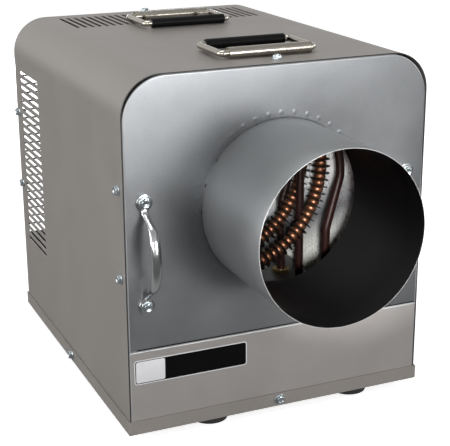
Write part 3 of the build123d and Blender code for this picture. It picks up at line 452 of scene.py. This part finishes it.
def hexagon_reach(flats, turn):
    """From a hexagon's middle to its edge, at an angle."""
    sixth = math.pi / 3
    return flats / 2 / math.cos((turn + sixth / 2) % sixth - sixth / 2)


def lathe(shape, origin, direction, profile, count=48, slot=0, flats=0.0, close=False):
    """Turn (radius, height) pairs round an axis; flats limits the radius to a hexagon."""
    way, a, b = side_axes(direction)
    centre = Vector(origin)
    rings = []
    for radius, height in profile:
        points = []
        for turn in turns(count):
            reach = min(radius, hexagon_reach(flats, turn)) if flats else radius
            points.append(tuple(centre + way * height + spoke(a, b, turn, reach)))
        rings.append(shape.ring(points))
    shape.skin(rings, slot)
    if close:
        shape.bridge(rings[-1], rings[0], slot)
    else:
        shape.caps(rings, slot)


# ----------------------------------------------------------- screws and bolts
WASHER_R = 6.8     # washer face of the sheet screws
CLAMP_R = 7.8      # loose washers of the guard's screws


def flange_head(shape, point, direction, washer=WASHER_R, thick=1.2, flats=9.5, head=5.0,
                shank=2.4, reach=10.0):
    """Hex head with a rounded washer face, a chamfered crown, a shallow dish and its shank."""
    side = flats / 2
    corner = side / math.cos(math.pi / 6)
    lathe(shape, point, direction, [
        (washer - 0.5, 0.02), (washer, 0.35), (washer, thick * 0.7), (washer - 0.35, thick),
        (side + 0.2, thick + 0.25), (side - 0.5, thick + 0.3),
    ], 40)
    lathe(shape, point, direction, [
        (corner, thick), (corner, head - 0.9), (corner * 0.96, head - 0.45), (side * 0.9, head),
        (side * 0.72, head - 0.05), (side * 0.55, head - 0.7), (0.2, head - 0.85),
    ], 48, flats=flats)
    lathe(shape, point, direction, [(shank, 0.5), (shank, 1 - reach), (shank - 0.8, -reach)], 16)


def screw_set(name, node, places):
    """Screws at (point, direction) pairs, as one piece."""
    shape = Shape()
    for point, direction in places:
        flange_head(shape, point, direction)
    shape.build(name, [ZINC], "cabinet", node)


def make_sheet_screws():
    (_, front, low), (_, rear, high) = screw_corners("side_screws", WASHER_R)
    screw_set("side_screw_heads", "side_screws", [
        ((side * HALF, y, z), (side, 0, 0))
        for side in (-1, 1) for y in (front, rear) for z in (low, high)
    ])
    (rear_x, front, _), (front_x, rear, _) = screw_corners("top_screws", WASHER_R)
    screw_set("top_screw_heads", "top_screws", [
        ((front_x, front, TOP), (0, 0, 1)),
        ((rear_x, rear, TOP), (0, 0, 1)),
    ])
    (left, front, _), (right, rear, _) = corners("base_tray")
    x, y, z = middle("tray_screws")
    screw_set("tray_screw_heads", "tray_screws", [
        ((x, front, z), (0, -1, 0)),
        ((x, rear, z), (0, 1, 0)),
        ((left, y, z), (-1, 0, 0)),
        ((right, y, z), (1, 0, 0)),
    ])


def make_guard_screws():
    """Screws that clamp the guard against the rear panel, with washers on its inner side."""
    shape = Shape()
    (left, _, low), (right, _, high) = screw_corners("guard_screws", CLAMP_R)
    back = REAR - SHEET - GUARD_THICK    # the washers' seat on the guard
    for x in (left, right):
        for z in (low, high):
            flange_head(shape, (x, REAR, z), (0, 1, 0), reach=REAR - back + 4.0)
            lathe(shape, (x, back, z), (0, -1, 0), [
                (1.9, 0.0), (CLAMP_R - 0.3, 0.0), (CLAMP_R, 0.3), (CLAMP_R, 0.9),
                (CLAMP_R - 0.3, 1.2), (1.9, 1.2),
            ], 40, close=True)
    shape.build("guard_clamp_screws", [ZINC], "cabinet", "guard_screws")


# --------------------------------------------------------------- pull handles
# half of a pull handle: along, out from the panel, half width, half thickness
PULL_HALF = [
    (-60.0, 2.3, 6.2, 1.6), (-53.5, 2.6, 5.0, 2.0), (-49.0, 5.0, 4.2, 2.5),
    (-43.5, 13.0, 3.9, 2.8), (-37.5, 22.0, 4.4, 3.1), (-31.5, 27.6, 5.2, 3.3),
    (-23.0, 31.2, 6.0, 3.5), (-12.0, 33.1, 6.2, 3.6),
]
PULL_MIDDLE = (0.0, 33.6, 6.2, 3.6)
PULL_LEAN = 1.5    # how far the grip leans towards the duct


def catmull_rom(a, b, c, d, t):
    """Between b and c, at t from 0 to 1."""
    return 0.5 * (2 * b + (c - a) * t + (2 * a - 5 * b + 4 * c - d) * t * t
                  + (3 * b - a - 3 * c + d) * t ** 3)


def smooth_path(points, steps):
    """Smooth curve through points with any number of parts."""
    out = []
    last = len(points) - 1
    for i in range(last):
        near = (points[max(i - 1, 0)], points[i], points[i + 1], points[min(i + 2, last)])
        for k in range(steps):
            out.append(tuple(catmull_rom(*parts, k / steps) for parts in zip(*near)))
    out.append(points[last])
    return out


def make_pull_handle(name):
    """Forged bow: flat eyes, slim necks and a broad rounded grip."""
    x, _, z = middle(name + "_pull_handle")
    shape = Shape()
    across = Vector((1, 0, 0))
    stations = PULL_HALF + [PULL_MIDDLE] + [(-a, b, c, d) for a, b, c, d in reversed(PULL_HALF)]
    line = smooth_path(stations, 6)
    rings = []
    for i, (along, out, wide, thick) in enumerate(line):
        before = line[max(i - 1, 0)]
        after = line[min(i + 1, len(line) - 1)]
        run = Vector((0, before[1] - after[1], after[0] - before[0])).normalized()
        normal = across.cross(run).normalized()
        lean = -PULLS[name] * PULL_LEAN * (out - 2.5) / 32.3    # from the eyes to the grip
        centre = Vector((x + lean, FRONT - out, z + along))
        rings.append(shape.ring([
            tuple(centre + across * math.cos(turn) * wide + normal * math.sin(turn) * thick)
            for turn in turns(28)
        ]))
    shape.skin(rings)
    shape.caps(rings)
    for end in PULL_BOLTS:
        lathe(shape, (x, FRONT, z + end), (0, -1, 0), [
            (9.4, 0.0), (10.0, 0.5), (10.0, 2.0), (9.5, 2.8), (8.6, 3.0), (4.0, 2.9),
        ])
    shape.build(name + "_pull_bow", [BRIGHT], "cabinet", name + "_pull_handle")


def make_pull_bolts():
    shape = Shape()
    for name in PULLS:
        x, _, z = middle(name + "_pull_handle")
        for end in PULL_BOLTS:
            flange_head(shape, (x, FRONT - 3.0, z + end), (0, -1, 0), washer=7.2, thick=1.4,
                        flats=10.0, shank=3.0, reach=14.0)
    shape.build("pull_bolt_heads", [ZINC], "cabinet", "pull_handle_bolts")


# ---------------------------------------------------------------- duct collar
FLANGE_R = 117.8
SEAM_TURN = math.radians(-92.6)    # the lap seam is at the bottom
SEAM_WIDTH = 0.11                  # in radians
SEAM_STEP = 0.5                    # how far it stands into the duct
SHADOW_GAP = (160, 285)            # lower left stretch of the joint with the panel, in degrees, painted near black as shadow
TABS = 20


def make_collar():
    """Rolled collar with a lap seam, a bare edge, a near-black inside and root of painted shade,
    and a flange behind the panel.
    """
    shape = Shape()
    painted, dark, bare, panel = range(4)
    inside = COLLAR_R - COLLAR_WALL
    profile = [
        (COLLAR_R, FRONT + 1.0, painted), (COLLAR_R, FRONT - 0.1, painted),
        (COLLAR_R, FRONT - 1.1, painted), (COLLAR_R, FRONT - 40.0, painted),
        (COLLAR_R, MOUTH + 40.0, painted), (COLLAR_R, MOUTH + 0.35, painted),
        (COLLAR_R - 0.15, MOUTH + 0.05, bare), (inside + 0.15, MOUTH + 0.05, bare),
        (inside, MOUTH + 0.35, dark), (inside, MOUTH + 40.0, dark),
        (inside, FRONT - 40.0, dark), (inside, FRONT + 2.0, dark),
        (FLANGE_R, FRONT + 2.0, dark), (FLANGE_R, FRONT + 1.3, dark),
        (COLLAR_R, FRONT + 1.25, painted),
    ]
    count = 240
    rings = []
    for radius, y, slot in profile:
        points = []
        for turn in turns(count):
            past = (turn - SEAM_TURN + math.pi) % (2 * math.pi) - math.pi
            lapped = slot == dark and radius < COLLAR_R and -SEAM_WIDTH < past < 0.0
            points.append(upright(0, y, AXIS, radius - (SEAM_STEP if lapped else 0), turn))
        rings.append(shape.ring(points))
    shape.bridge(rings[0], rings[1], dark)
    for i in range(count):
        j = (i + 1) % count
        shadow = SHADOW_GAP[0] < 360 * i / count < SHADOW_GAP[1]
        shape.face([rings[1][i], rings[1][j], rings[2][j], rings[2][i]],
                   dark if shadow else painted)
    for first, second, (_, _, slot) in zip(rings[2:], rings[3:], profile[3:]):
        shape.bridge(first, second, slot)
    for tab in range(TABS):
        angles = [math.radians(360 / TABS * tab + 1.0 + k * 16.0 / 12) for k in range(13)]
        arcs = [
            shape.ring([upright(0, FRONT + back, AXIS, COLLAR_R + out, turn) for turn in angles])
            for out, back in ((0.1, -0.5), (0.4, -0.5), (0.7, 0.1))
        ]
        shape.skin(arcs, panel, closed=False)
    shape.build("duct_collar", [COLLAR, PAINTED_SHADE, LIP, PANEL], "cabinet", "outlet_collar")


# -------------------------------------------------------------- heating coils
FIN_STEP = 4.0    # between two fins, in degrees of the coil
CRIMPS = 3        # waves round a fin
# radius, place along the coil, height of the crimp's wave
FIN_PROFILE = (
    (5.7, -0.45, 0.0), (7.4, -0.45, 0.0), (12.4, -0.45, 0.4), (12.7, 0.0, 0.4),
    (12.4, 0.45, 0.4), (7.4, 0.45, 0.0), (5.7, 0.45, 0.0),
)
BEAD_PROFILE = (
    (5.6, -4.0, 0.0), (6.6, -3.4, 0.0), (7.6, -1.8, 0.0), (7.9, 0.0, 0.0),
    (7.6, 1.8, 0.0), (6.6, 3.4, 0.0), (5.6, 4.0, 0.0),
)


def coil_frame(angle, start):
    """Centre, tangent and two normals of a coil at an angle in degrees."""
    turn = math.radians(angle)
    out = Vector((math.cos(turn), 0, math.sin(turn)))
    centre = Vector((0, start + COIL_PITCH * angle / 360, COIL_Z)) + out * COIL_R
    rise = COIL_PITCH / (2 * math.pi)
    way = Vector((-COIL_R * math.sin(turn), rise, COIL_R * math.cos(turn))).normalized()
    return centre, way, out, way.cross(out).normalized()


def add_to_coil(shape, angle, start, profile, count, phase, slot):
    """Turn a profile round the coil's line, with waves where it has them."""
    centre, way, out, side = coil_frame(angle, start)
    rings = []
    for radius, height, wave in profile:
        rings.append(shape.ring([
            tuple(centre + way * (height + wave * math.sin(CRIMPS * turn + phase))
                  + spoke(out, side, turn, radius))
            for turn in turns(count)
        ]))
    shape.skin(rings, slot)


def make_fins(name):
    """Crimped fins with bright rolled collars between them."""
    start = COIL_STARTS[name]
    first, last = COIL_TURN
    shape = Shape()
    count = int((last - first) / FIN_STEP) + 1
    for i in range(count):
        angle = first + i * FIN_STEP
        add_to_coil(shape, angle, start, FIN_PROFILE, 24, i * 1.7, 0)
        between = angle + FIN_STEP / 2
        at_hanger = any(abs(between % 360 - turn) < FIN_STEP for turn in HANGER_TURNS)
        if i < count - 1 and not at_hanger:
            add_to_coil(shape, between, start, BEAD_PROFILE, 16, 0.0, 1)
    shape.build(name + "_coil_crimped_fins", [FIN, BEAD], "cabinet", name + "_coil_fins")


# ------------------------------------------------------------------ nameplate
def rounded_outline(x0, x1, z0, z1, radius, steps=8):
    points = []
    for cx, cz, start in (
        (x1 - radius, z1 - radius, 0), (x0 + radius, z1 - radius, 90),
        (x0 + radius, z0 + radius, 180), (x1 - radius, z0 + radius, 270),
    ):
        for k in range(steps + 1):
            turn = math.radians(start + 90 * k / steps)
            points.append((cx + radius * math.cos(turn), cz + radius * math.sin(turn)))
    return points


def stack(shape, box, radius, layers, base=FRONT, way=-1):
    """Rounded outlines on top of one another: (inset, out, material of the band up to it)."""
    x0, x1, z0, z1 = box
    rings = []
    for inset, out, _ in layers:
        outline = rounded_outline(x0 + inset, x1 - inset, z0 + inset, z1 - inset,
                                  max(radius - inset, 0.4))
        rings.append(shape.ring([(x, base + way * out, z) for x, z in outline]))
    for first, second, (_, _, slot) in zip(rings, rings[1:], layers[1:]):
        shape.bridge(first, second, slot)
    shape.face(rings[-1], layers[-1][2])


def make_nameplate():
    """Plain black plate with a bare rim and a blank pale field."""
    shape = Shape()
    bare, black, pale = range(3)
    (x0, _, z0), (x1, _, z1) = corners("blank_nameplate")
    stack(shape, (x0, x1, z0, z1), 4.0, [
        (0.15, 0.0, bare), (0.0, 0.15, bare), (0.0, 0.45, bare), (0.2, 0.6, bare),
        (1.3, 0.6, pale), (1.5, 0.42, black), (1.9, 0.42, black),
    ])
    stack(shape, (x0 + 2.4, x0 + 39.0, z0 + 2.2, z1 - 2.2), 2.5, [
        (0.0, 0.40, pale), (0.0, 0.47, pale), (0.15, 0.52, pale),
    ])
    shape.build("plain_nameplate", [LIP, PLATE, FIELD], "cabinet", "blank_nameplate")


# -------------------------------------------------------- folded front sheets
FOLD = 2.0         # outer radius of a folded edge
INNER_FOLD = 0.6
FOLD_STEPS = 7


def arc(x, z, radius, start):
    """A quarter circle in steps of five degrees, from a start in degrees."""
    angles = [math.radians(start + 5 * k) for k in range(18)]
    return [(x + radius * math.cos(a), z + radius * math.sin(a)) for a in angles]


def pan_outline(half, low, high, radius, inset):
    """Outline of a panel with round top corners, anticlockwise from its lower left corner."""
    x = half - inset
    low += inset
    high -= inset
    r = max(radius - inset, 0.0)
    shoulder = high - r
    points = [(-x + x * k / 24, low) for k in range(48)]
    points += [(x, low + (shoulder - low) * k / 40) for k in range(40)]
    if r:
        points += arc(x - r, shoulder, r, 0)
    points += [(x - r - (x - r) * k / 20, high) for k in range(40)]
    if r:
        points += arc(-x + r, shoulder, r, 90)
    return points + [(-x, shoulder - (shoulder - low) * k / 40) for k in range(40)]


def make_front_sheet(name, mat, node, radius, hole=0.0):
    """Sheet with its edges folded back over a small radius, and a hole for the duct."""
    shape = Shape()
    plain, edge, dark = range(3)
    (_, front, low), (half, back, high) = corners(node)
    depth = back - front

    def level(inset, behind):
        outline = pan_outline(half, low, high, radius, inset)
        return shape.ring([(x, front + behind, z) for x, z in outline])

    def round_hole(r, behind):
        outline = pan_outline(half, low, high, radius, FOLD)
        angles = [math.atan2(z - AXIS, x) for x, z in outline]
        return shape.ring([upright(0, front + behind, AXIS, r, a) for a in angles])

    rings = [level(0, depth), level(0, FOLD + 0.4)]
    for k in range(FOLD_STEPS):
        turn = math.radians(90 - 90 * k / (FOLD_STEPS - 1))
        rings.append(level(FOLD - FOLD * math.sin(turn), FOLD - FOLD * math.cos(turn)))
    rings.append(level(FOLD + 0.4, 0))
    inner = [level(SHEET + INNER_FOLD, SHEET), level(SHEET, SHEET + INNER_FOLD),
             level(SHEET, depth), rings[0]]
    if hole:
        rings += [round_hole(hole + 1.2, 0), round_hole(hole + 0.3, 0.1),
                  round_hole(hole, 0.5), round_hole(hole, SHEET)]
        inner.insert(0, rings[-1])
    else:
        shape.face(rings[-1])
        shape.face(inner[0])
    shape.skin(inner)
    for i, (first, second) in enumerate(zip(rings, rings[1:])):
        # painted highlight: the middle of the fold is paler
        shape.bridge(first, second, edge if 3 <= i <= 6 else plain)
        if not hole or i > FOLD_STEPS:
            continue
        # the upper panel's lower fold lies in the shadow of the seam
        for k, number in enumerate(first):
            x, _, z = shape.verts[number]
            if z < low + FOLD and abs(x) < half - 3:
                shape.slots[k - len(first)] = dark
    shape.build(name, [mat, FOLD_HIGHLIGHT, PAINTED_SHADE], "cabinet", node)


# -------------------------------------------------------------- rear controls
def make_knob():
    """Knob with a milled skirt, a grip bar and a white pointer."""
    x0, z0 = KNOB_X, CONTROLS_Z
    shape = Shape()
    rings = []
    for radius, out in ((16.0, 0.8), (16.7, 1.2), (16.9, 2.0), (16.9, 5.4), (16.5, 6.4),
                        (15.5, 6.8), (8.0, 6.8)):
        milled = 0.45 if radius > 16.2 else 0.0
        rings.append(shape.ring([
            upright(x0, REAR + out, z0, radius - (milled if i % 4 < 2 else 0.0), turn)
            for i, turn in enumerate(turns(144))
        ]))
    shape.skin(rings)
    shape.caps(rings)
    stack(shape, (x0 - 3.5, x0 + 3.5, z0 - 16.2, z0 + 16.2), 3.0, [
        (0.0, 6.0, 0), (0.0, 13.6, 0), (0.2, 14.6, 0), (0.6, 15.3, 0), (1.3, 15.8, 0),
        (2.0, 15.8, 0),
    ], REAR, 1)
    stack(shape, (x0 - 0.8, x0 + 0.8, z0 + 1.0, z0 + 14.2), 0.8, [
        (0.0, 15.7, 1), (0.0, 15.79, 1), (0.1, 15.8, 1),
    ], REAR, 1)
    lathe(shape, (x0, REAR, z0), (0, 1, 0), [(2.5, -19.2), (3.0, -18.7), (3.0, 1.5)], 24)
    shape.build("milled_knob", [BLACK, MARK], "knob", "thermostat_knob")


def make_dial():
    """Printed scale round the knob, with each third line longer and bolder."""
    shape = Shape()
    centre = Vector((KNOB_X, REAR, CONTROLS_Z))
    print_height = Vector((0, 0.08, 0))
    for i in range(28):
        bold = i % 3 == 0
        turn = math.radians(90 - i * 10)
        way = Vector((math.cos(turn), 0, math.sin(turn)))
        across = Vector((-way.z, 0, way.x)) * (0.45 if bold else 0.25)
        near = centre + way * 19.0
        far = centre + way * (22.5 if bold else 21.0)
        line = (near - across, far - across, far + across, near + across)
        rings = [shape.ring([tuple(p) for p in line]),
                 shape.ring([tuple(p + print_height) for p in line])]
        shape.skin(rings)
        shape.caps(rings)
    shape.build("dial_scale", [MARK], "cabinet")


def make_rocker_marks():
    """A bar and a ring moulded on the rocker's two ends."""
    tilt = math.radians(9.0)
    shape = Shape()

    def place(x, height, lift):
        """Point above the rocker's hollow face, which tilts with it at rest."""
        out = 3.4 + 1.2 * abs(height) / 9.0 + lift
        y = out * math.cos(tilt) - height * math.sin(tilt)
        z = out * math.sin(tilt) + height * math.cos(tilt)
        return SWITCH_X + x, REAR - 1.5 + y, CONTROLS_Z + z

    bar = ((-0.4, 3.2), (0.4, 3.2), (0.4, 6.8), (-0.4, 6.8))
    low, top = (shape.ring([place(x, height, lift) for x, height in bar]) for lift in (0.02, 0.07))
    shape.bridge(low, top)
    shape.face(top)
    shape.skin([
        shape.ring([
            place(radius * math.cos(turn), -5.0 + radius * math.sin(turn), lift)
            for turn in turns(24)
        ])
        for radius, lift in ((1.4, 0.02), (1.4, 0.07), (2.0, 0.07), (2.0, 0.02))
    ])
    shape.build("rocker_marks", [MARK], "rocker")


def make_lamp():
    """Pilot lamp with a bright rim, a ribbed lens and a black body."""
    shape = Shape()
    lens, rim, body = range(3)
    base = (LAMP_X, REAR, CONTROLS_Z)
    rear = (0, 1, 0)
    lathe(shape, base, rear, [(7.9, 0.0), (8.0, 0.3), (7.8, 1.2), (7.3, 1.6), (6.2, 1.5)], slot=rim)
    ribs = [(6.0, 1.0)]
    for k in range(6):
        radius = 5.8 - k
        ribs += [(radius, 3.75 - 0.05 * k), (radius - 0.5, 3.95), (radius - 0.8, 3.7)]
    lathe(shape, base, rear, ribs[:-1], slot=lens)
    lathe(shape, base, rear, [(5.0, -14.0), (5.9, -13.5), (6.0, 0.5)], 32, slot=body)
    shape.build("ribbed_lamp", [AMBER, BRIGHT, BLACK], "cabinet", "pilot_lamp")


def make_gland():
    """Gland with a hexagon, a fluted dome nut, a rubber ring and a threaded body."""
    shape = Shape()
    moulded, rubber = range(2)
    flats = 28.0
    corner = flats / 2 / math.cos(math.pi / 6)
    lathe(shape, (GLAND_X, REAR, CONTROLS_Z), (0, 1, 0), [
        (flats / 2, 0.02), (corner, 1.0), (corner, 5.0), (14.2, 6.0), (12.0, 6.0),
    ], 96, flats=flats)
    profile = [
        (12.5, 6.0, moulded), (13.0, 7.0, moulded), (13.0, 19.0, moulded), (12.5, 22.0, moulded),
        (11.2, 24.3, moulded), (9.6, 25.0, moulded), (8.4, 24.9, moulded), (8.2, 24.2, rubber),
        (6.9, 24.2, rubber), (6.5, 23.8, rubber), (6.5, -14.5, moulded), (7.2, -15.2, moulded),
        (9.4, -15.2, moulded),
    ]
    for thread in range(9):
        height = -14.6 + 1.5 * thread
        profile += [(10.0, height + 0.5, moulded), (9.4, height + 1.0, moulded)]
    rings = []
    for radius, out, _ in profile:
        flute = 0.5 if 7.0 <= out <= 22.0 else 0.0
        rings.append(shape.ring([
            upright(GLAND_X, REAR + out, CONTROLS_Z, radius - (flute if i % 6 < 2 else 0.0), turn)
            for i, turn in enumerate(turns(144))
        ]))
    for first, second, (_, _, slot) in zip(rings, rings[1:], profile[1:]):
        shape.bridge(first, second, slot)
    shape.build("fluted_gland", [BLACK, RUBBER], "cabinet", "cable_gland")


make_sheet_screws()
make_guard_screws()
make_front_sheet("panel_sheet", PANEL, "front_panel", radius=53.0, hole=102.4)
make_front_sheet("cover_sheet", COVER, "lower_front_panel", radius=0.0)
make_knob()
make_dial()
make_rocker_marks()
make_lamp()
make_gland()
for side_name in PULLS:
    make_pull_handle(side_name)
make_pull_bolts()
make_collar()
for coil in COIL_STARTS:
    make_fins(coil)
make_nameplate()


# ------------------------------------------------------- floor, light, camera
FLOOR_HALF = 6.0     # metres from the object to the floor's edge
FLOOR_LIT = 0.08     # the grey that lights the object from below
FLOOR_SEEN = 0.8     # the white that the camera sees, and its glow
FLOOR_GLOW = 0.77
# how much of the white floor the metal mirrors, by its place in front of the object
FLOOR_SPAN = (-3.0, 0.0)
FLOOR_SHARES = ((-2.5, 0.5), (-1.6, 0.10), (-1.2, 0.03), (-0.54, 0.03), (-0.34, 0.17))
WORLD_LIT = 0.26                 # what lights the object
WORLD_MIRRORED = (0.95, 0.45)    # what the metal mirrors, at the horizon and high up
WORLD_HIGH = 0.8                 # upward part of the direction that counts as high up

AIM = (0, 0, 0.25)
LAMPS = (    # name, place and aim in metres, width and height, watts
    ("front_left", (0.45, -2.6, 0.6), AIM, (0.7, 0.9), 22),
    ("front_right", (0.92, -2.6, 0.5), AIM, (0.7, 0.9), 10),
    ("side", (-2.4, 0.0, 0.75), AIM, (1.5, 1.3), 35),
    ("low", (-1.5, -2.2, 0.55), AIM, (0.8, 0.8), 16),
    ("top", (-0.35, 0.1, 2.4), (0, 0.05, 0.4), (1.4, 1.4), 20),
    ("right", (2.4, -0.6, 1.0), AIM, (1.4, 1.2), 16),
    ("rear", (0.5, 2.4, 0.24), AIM, (1.1, 0.3), 22),
)

# fitted to the cabinet's edges, slots and collar in the photograph
CAMERA_PLACE = (-0.601831, -1.383680, 0.693650)
CAMERA_TURN = (71.73302, 0.3477, -23.50919)    # degrees about x, y and z
CAMERA_LENS = 95.2007
CAMERA_SHIFT = (0.0075, 0.0090)


def gate(tree, *shares):
    """How far each kind of ray sees the white background, instead of the light on the object."""
    path = add(tree, "ShaderNodeLightPath")
    value = None
    for name, share in shares:
        part = maths(tree, "MULTIPLY", path.outputs[name], share)
        value = maths(tree, "MAXIMUM", value, part) if value else part
    return value


def make_floor():
    h = FLOOR_HALF
    mesh = bpy.data.meshes.new("floor")
    mesh.from_pydata([(-h, -h, 0), (h, -h, 0), (h, h, 0), (-h, h, 0)], [], [(0, 1, 2, 3)])
    floor = bpy.data.objects.new("floor", mesh)
    bpy.context.scene.collection.objects.link(floor)
    mat, tree, shader = new_material("floor_white")
    shader.inputs["Base Color"].default_value = (FLOOR_LIT, FLOOR_LIT, FLOOR_LIT, 1)
    shader.inputs["Roughness"].default_value = 1.0
    shader.inputs["Specular IOR Level"].default_value = 0.0
    pale = add(tree, "ShaderNodeBsdfDiffuse")
    pale.inputs["Color"].default_value = (FLOOR_SEEN, FLOOR_SEEN, FLOOR_SEEN, 1)
    glow = add(tree, "ShaderNodeEmission")
    glow.inputs["Strength"].default_value = FLOOR_GLOW
    both = add(tree, "ShaderNodeAddShader")
    tree.links.new(pale.outputs[0], both.inputs[0])
    tree.links.new(glow.outputs[0], both.inputs[1])
    start, end = FLOOR_SPAN
    along = map_range(tree, part_of(tree, object_coords(tree), "Y"), FLOOR_SPAN)
    mirrored = ramp(tree, along, [
        ((y - start) / (end - start), (share, share, share)) for y, share in FLOOR_SHARES
    ])
    seen = gate(tree, ("Is Camera Ray", 1.0), ("Is Glossy Ray", mirrored),
                ("Is Transmission Ray", 1.0))
    mixed = mix_shaders(tree, seen, shader.outputs[0], both.outputs[0])
    tree.links.new(mixed, tree.nodes["Material Output"].inputs["Surface"])
    floor.data.materials.append(mat)


def make_world():
    """White for the camera, a gradient of greys in mirrors, and a soft light on the object."""
    world = bpy.data.worlds.new("studio")
    bpy.context.scene.world = world
    world.use_nodes = True
    tree = world.node_tree
    coords = add(tree, "ShaderNodeTexCoord").outputs["Generated"]
    grey = map_range(tree, part_of(tree, coords, "Z"), (0.0, WORLD_HIGH), WORLD_MIRRORED)
    skies = []
    for strength in (WORLD_LIT, grey, 1.0):
        sky = add(tree, "ShaderNodeBackground")
        sky.inputs["Color"].default_value = (1, 1, 1, 1)
        feed(tree, sky.inputs["Strength"], strength)
        skies.append(sky.outputs[0])
    lit, mirrored, white = skies
    unseen = mix_shaders(tree, gate(tree, ("Is Glossy Ray", 1.0)), lit, mirrored)
    seen = gate(tree, ("Is Camera Ray", 1.0), ("Is Transmission Ray", 1.0))
    tree.links.new(mix_shaders(tree, seen, unseen, white),
                   tree.nodes["World Output"].inputs["Surface"])


def put_lamp(name, kind, place, aim, power):
    """Lamp that points at a place and is not itself in the picture."""
    data = bpy.data.lights.new(name, kind)
    data.energy = power
    lamp = bpy.data.objects.new(name, data)
    lamp.visible_camera = False
    bpy.context.scene.collection.objects.link(lamp)
    lamp.location = place
    way = Vector(aim) - Vector(place)
    lamp.rotation_euler = way.to_track_quat("-Z", "Y").to_euler()
    return data


def make_lamps():
    for name, place, aim, size, power in LAMPS:
        data = put_lamp(name, "AREA", place, aim, power)
        data.shape = "RECTANGLE"
        data.size, data.size_y = size
    # a narrow lamp into the duct's mouth
    data = put_lamp("duct", "SPOT", (-0.62, -1.60, 0.70), (0.015, -0.325, 0.275), 460)
    data.spot_size = math.radians(7.0)
    data.spot_blend = 0.35
    data.shadow_soft_size = 0.06


def make_camera():
    data = bpy.data.cameras.new("camera")
    data.lens = CAMERA_LENS
    data.sensor_width = 36.0
    data.shift_x, data.shift_y = CAMERA_SHIFT
    camera = bpy.data.objects.new("camera", data)
    bpy.context.scene.collection.objects.link(camera)
    turn = Euler([math.radians(angle) for angle in CAMERA_TURN]).to_matrix().to_4x4()
    camera.matrix_world = Matrix.Translation(CAMERA_PLACE) @ turn
    bpy.context.scene.camera = camera


make_floor()
make_world()
make_camera()
make_lamps()
bpy.context.scene.view_settings.view_transform = "Standard"
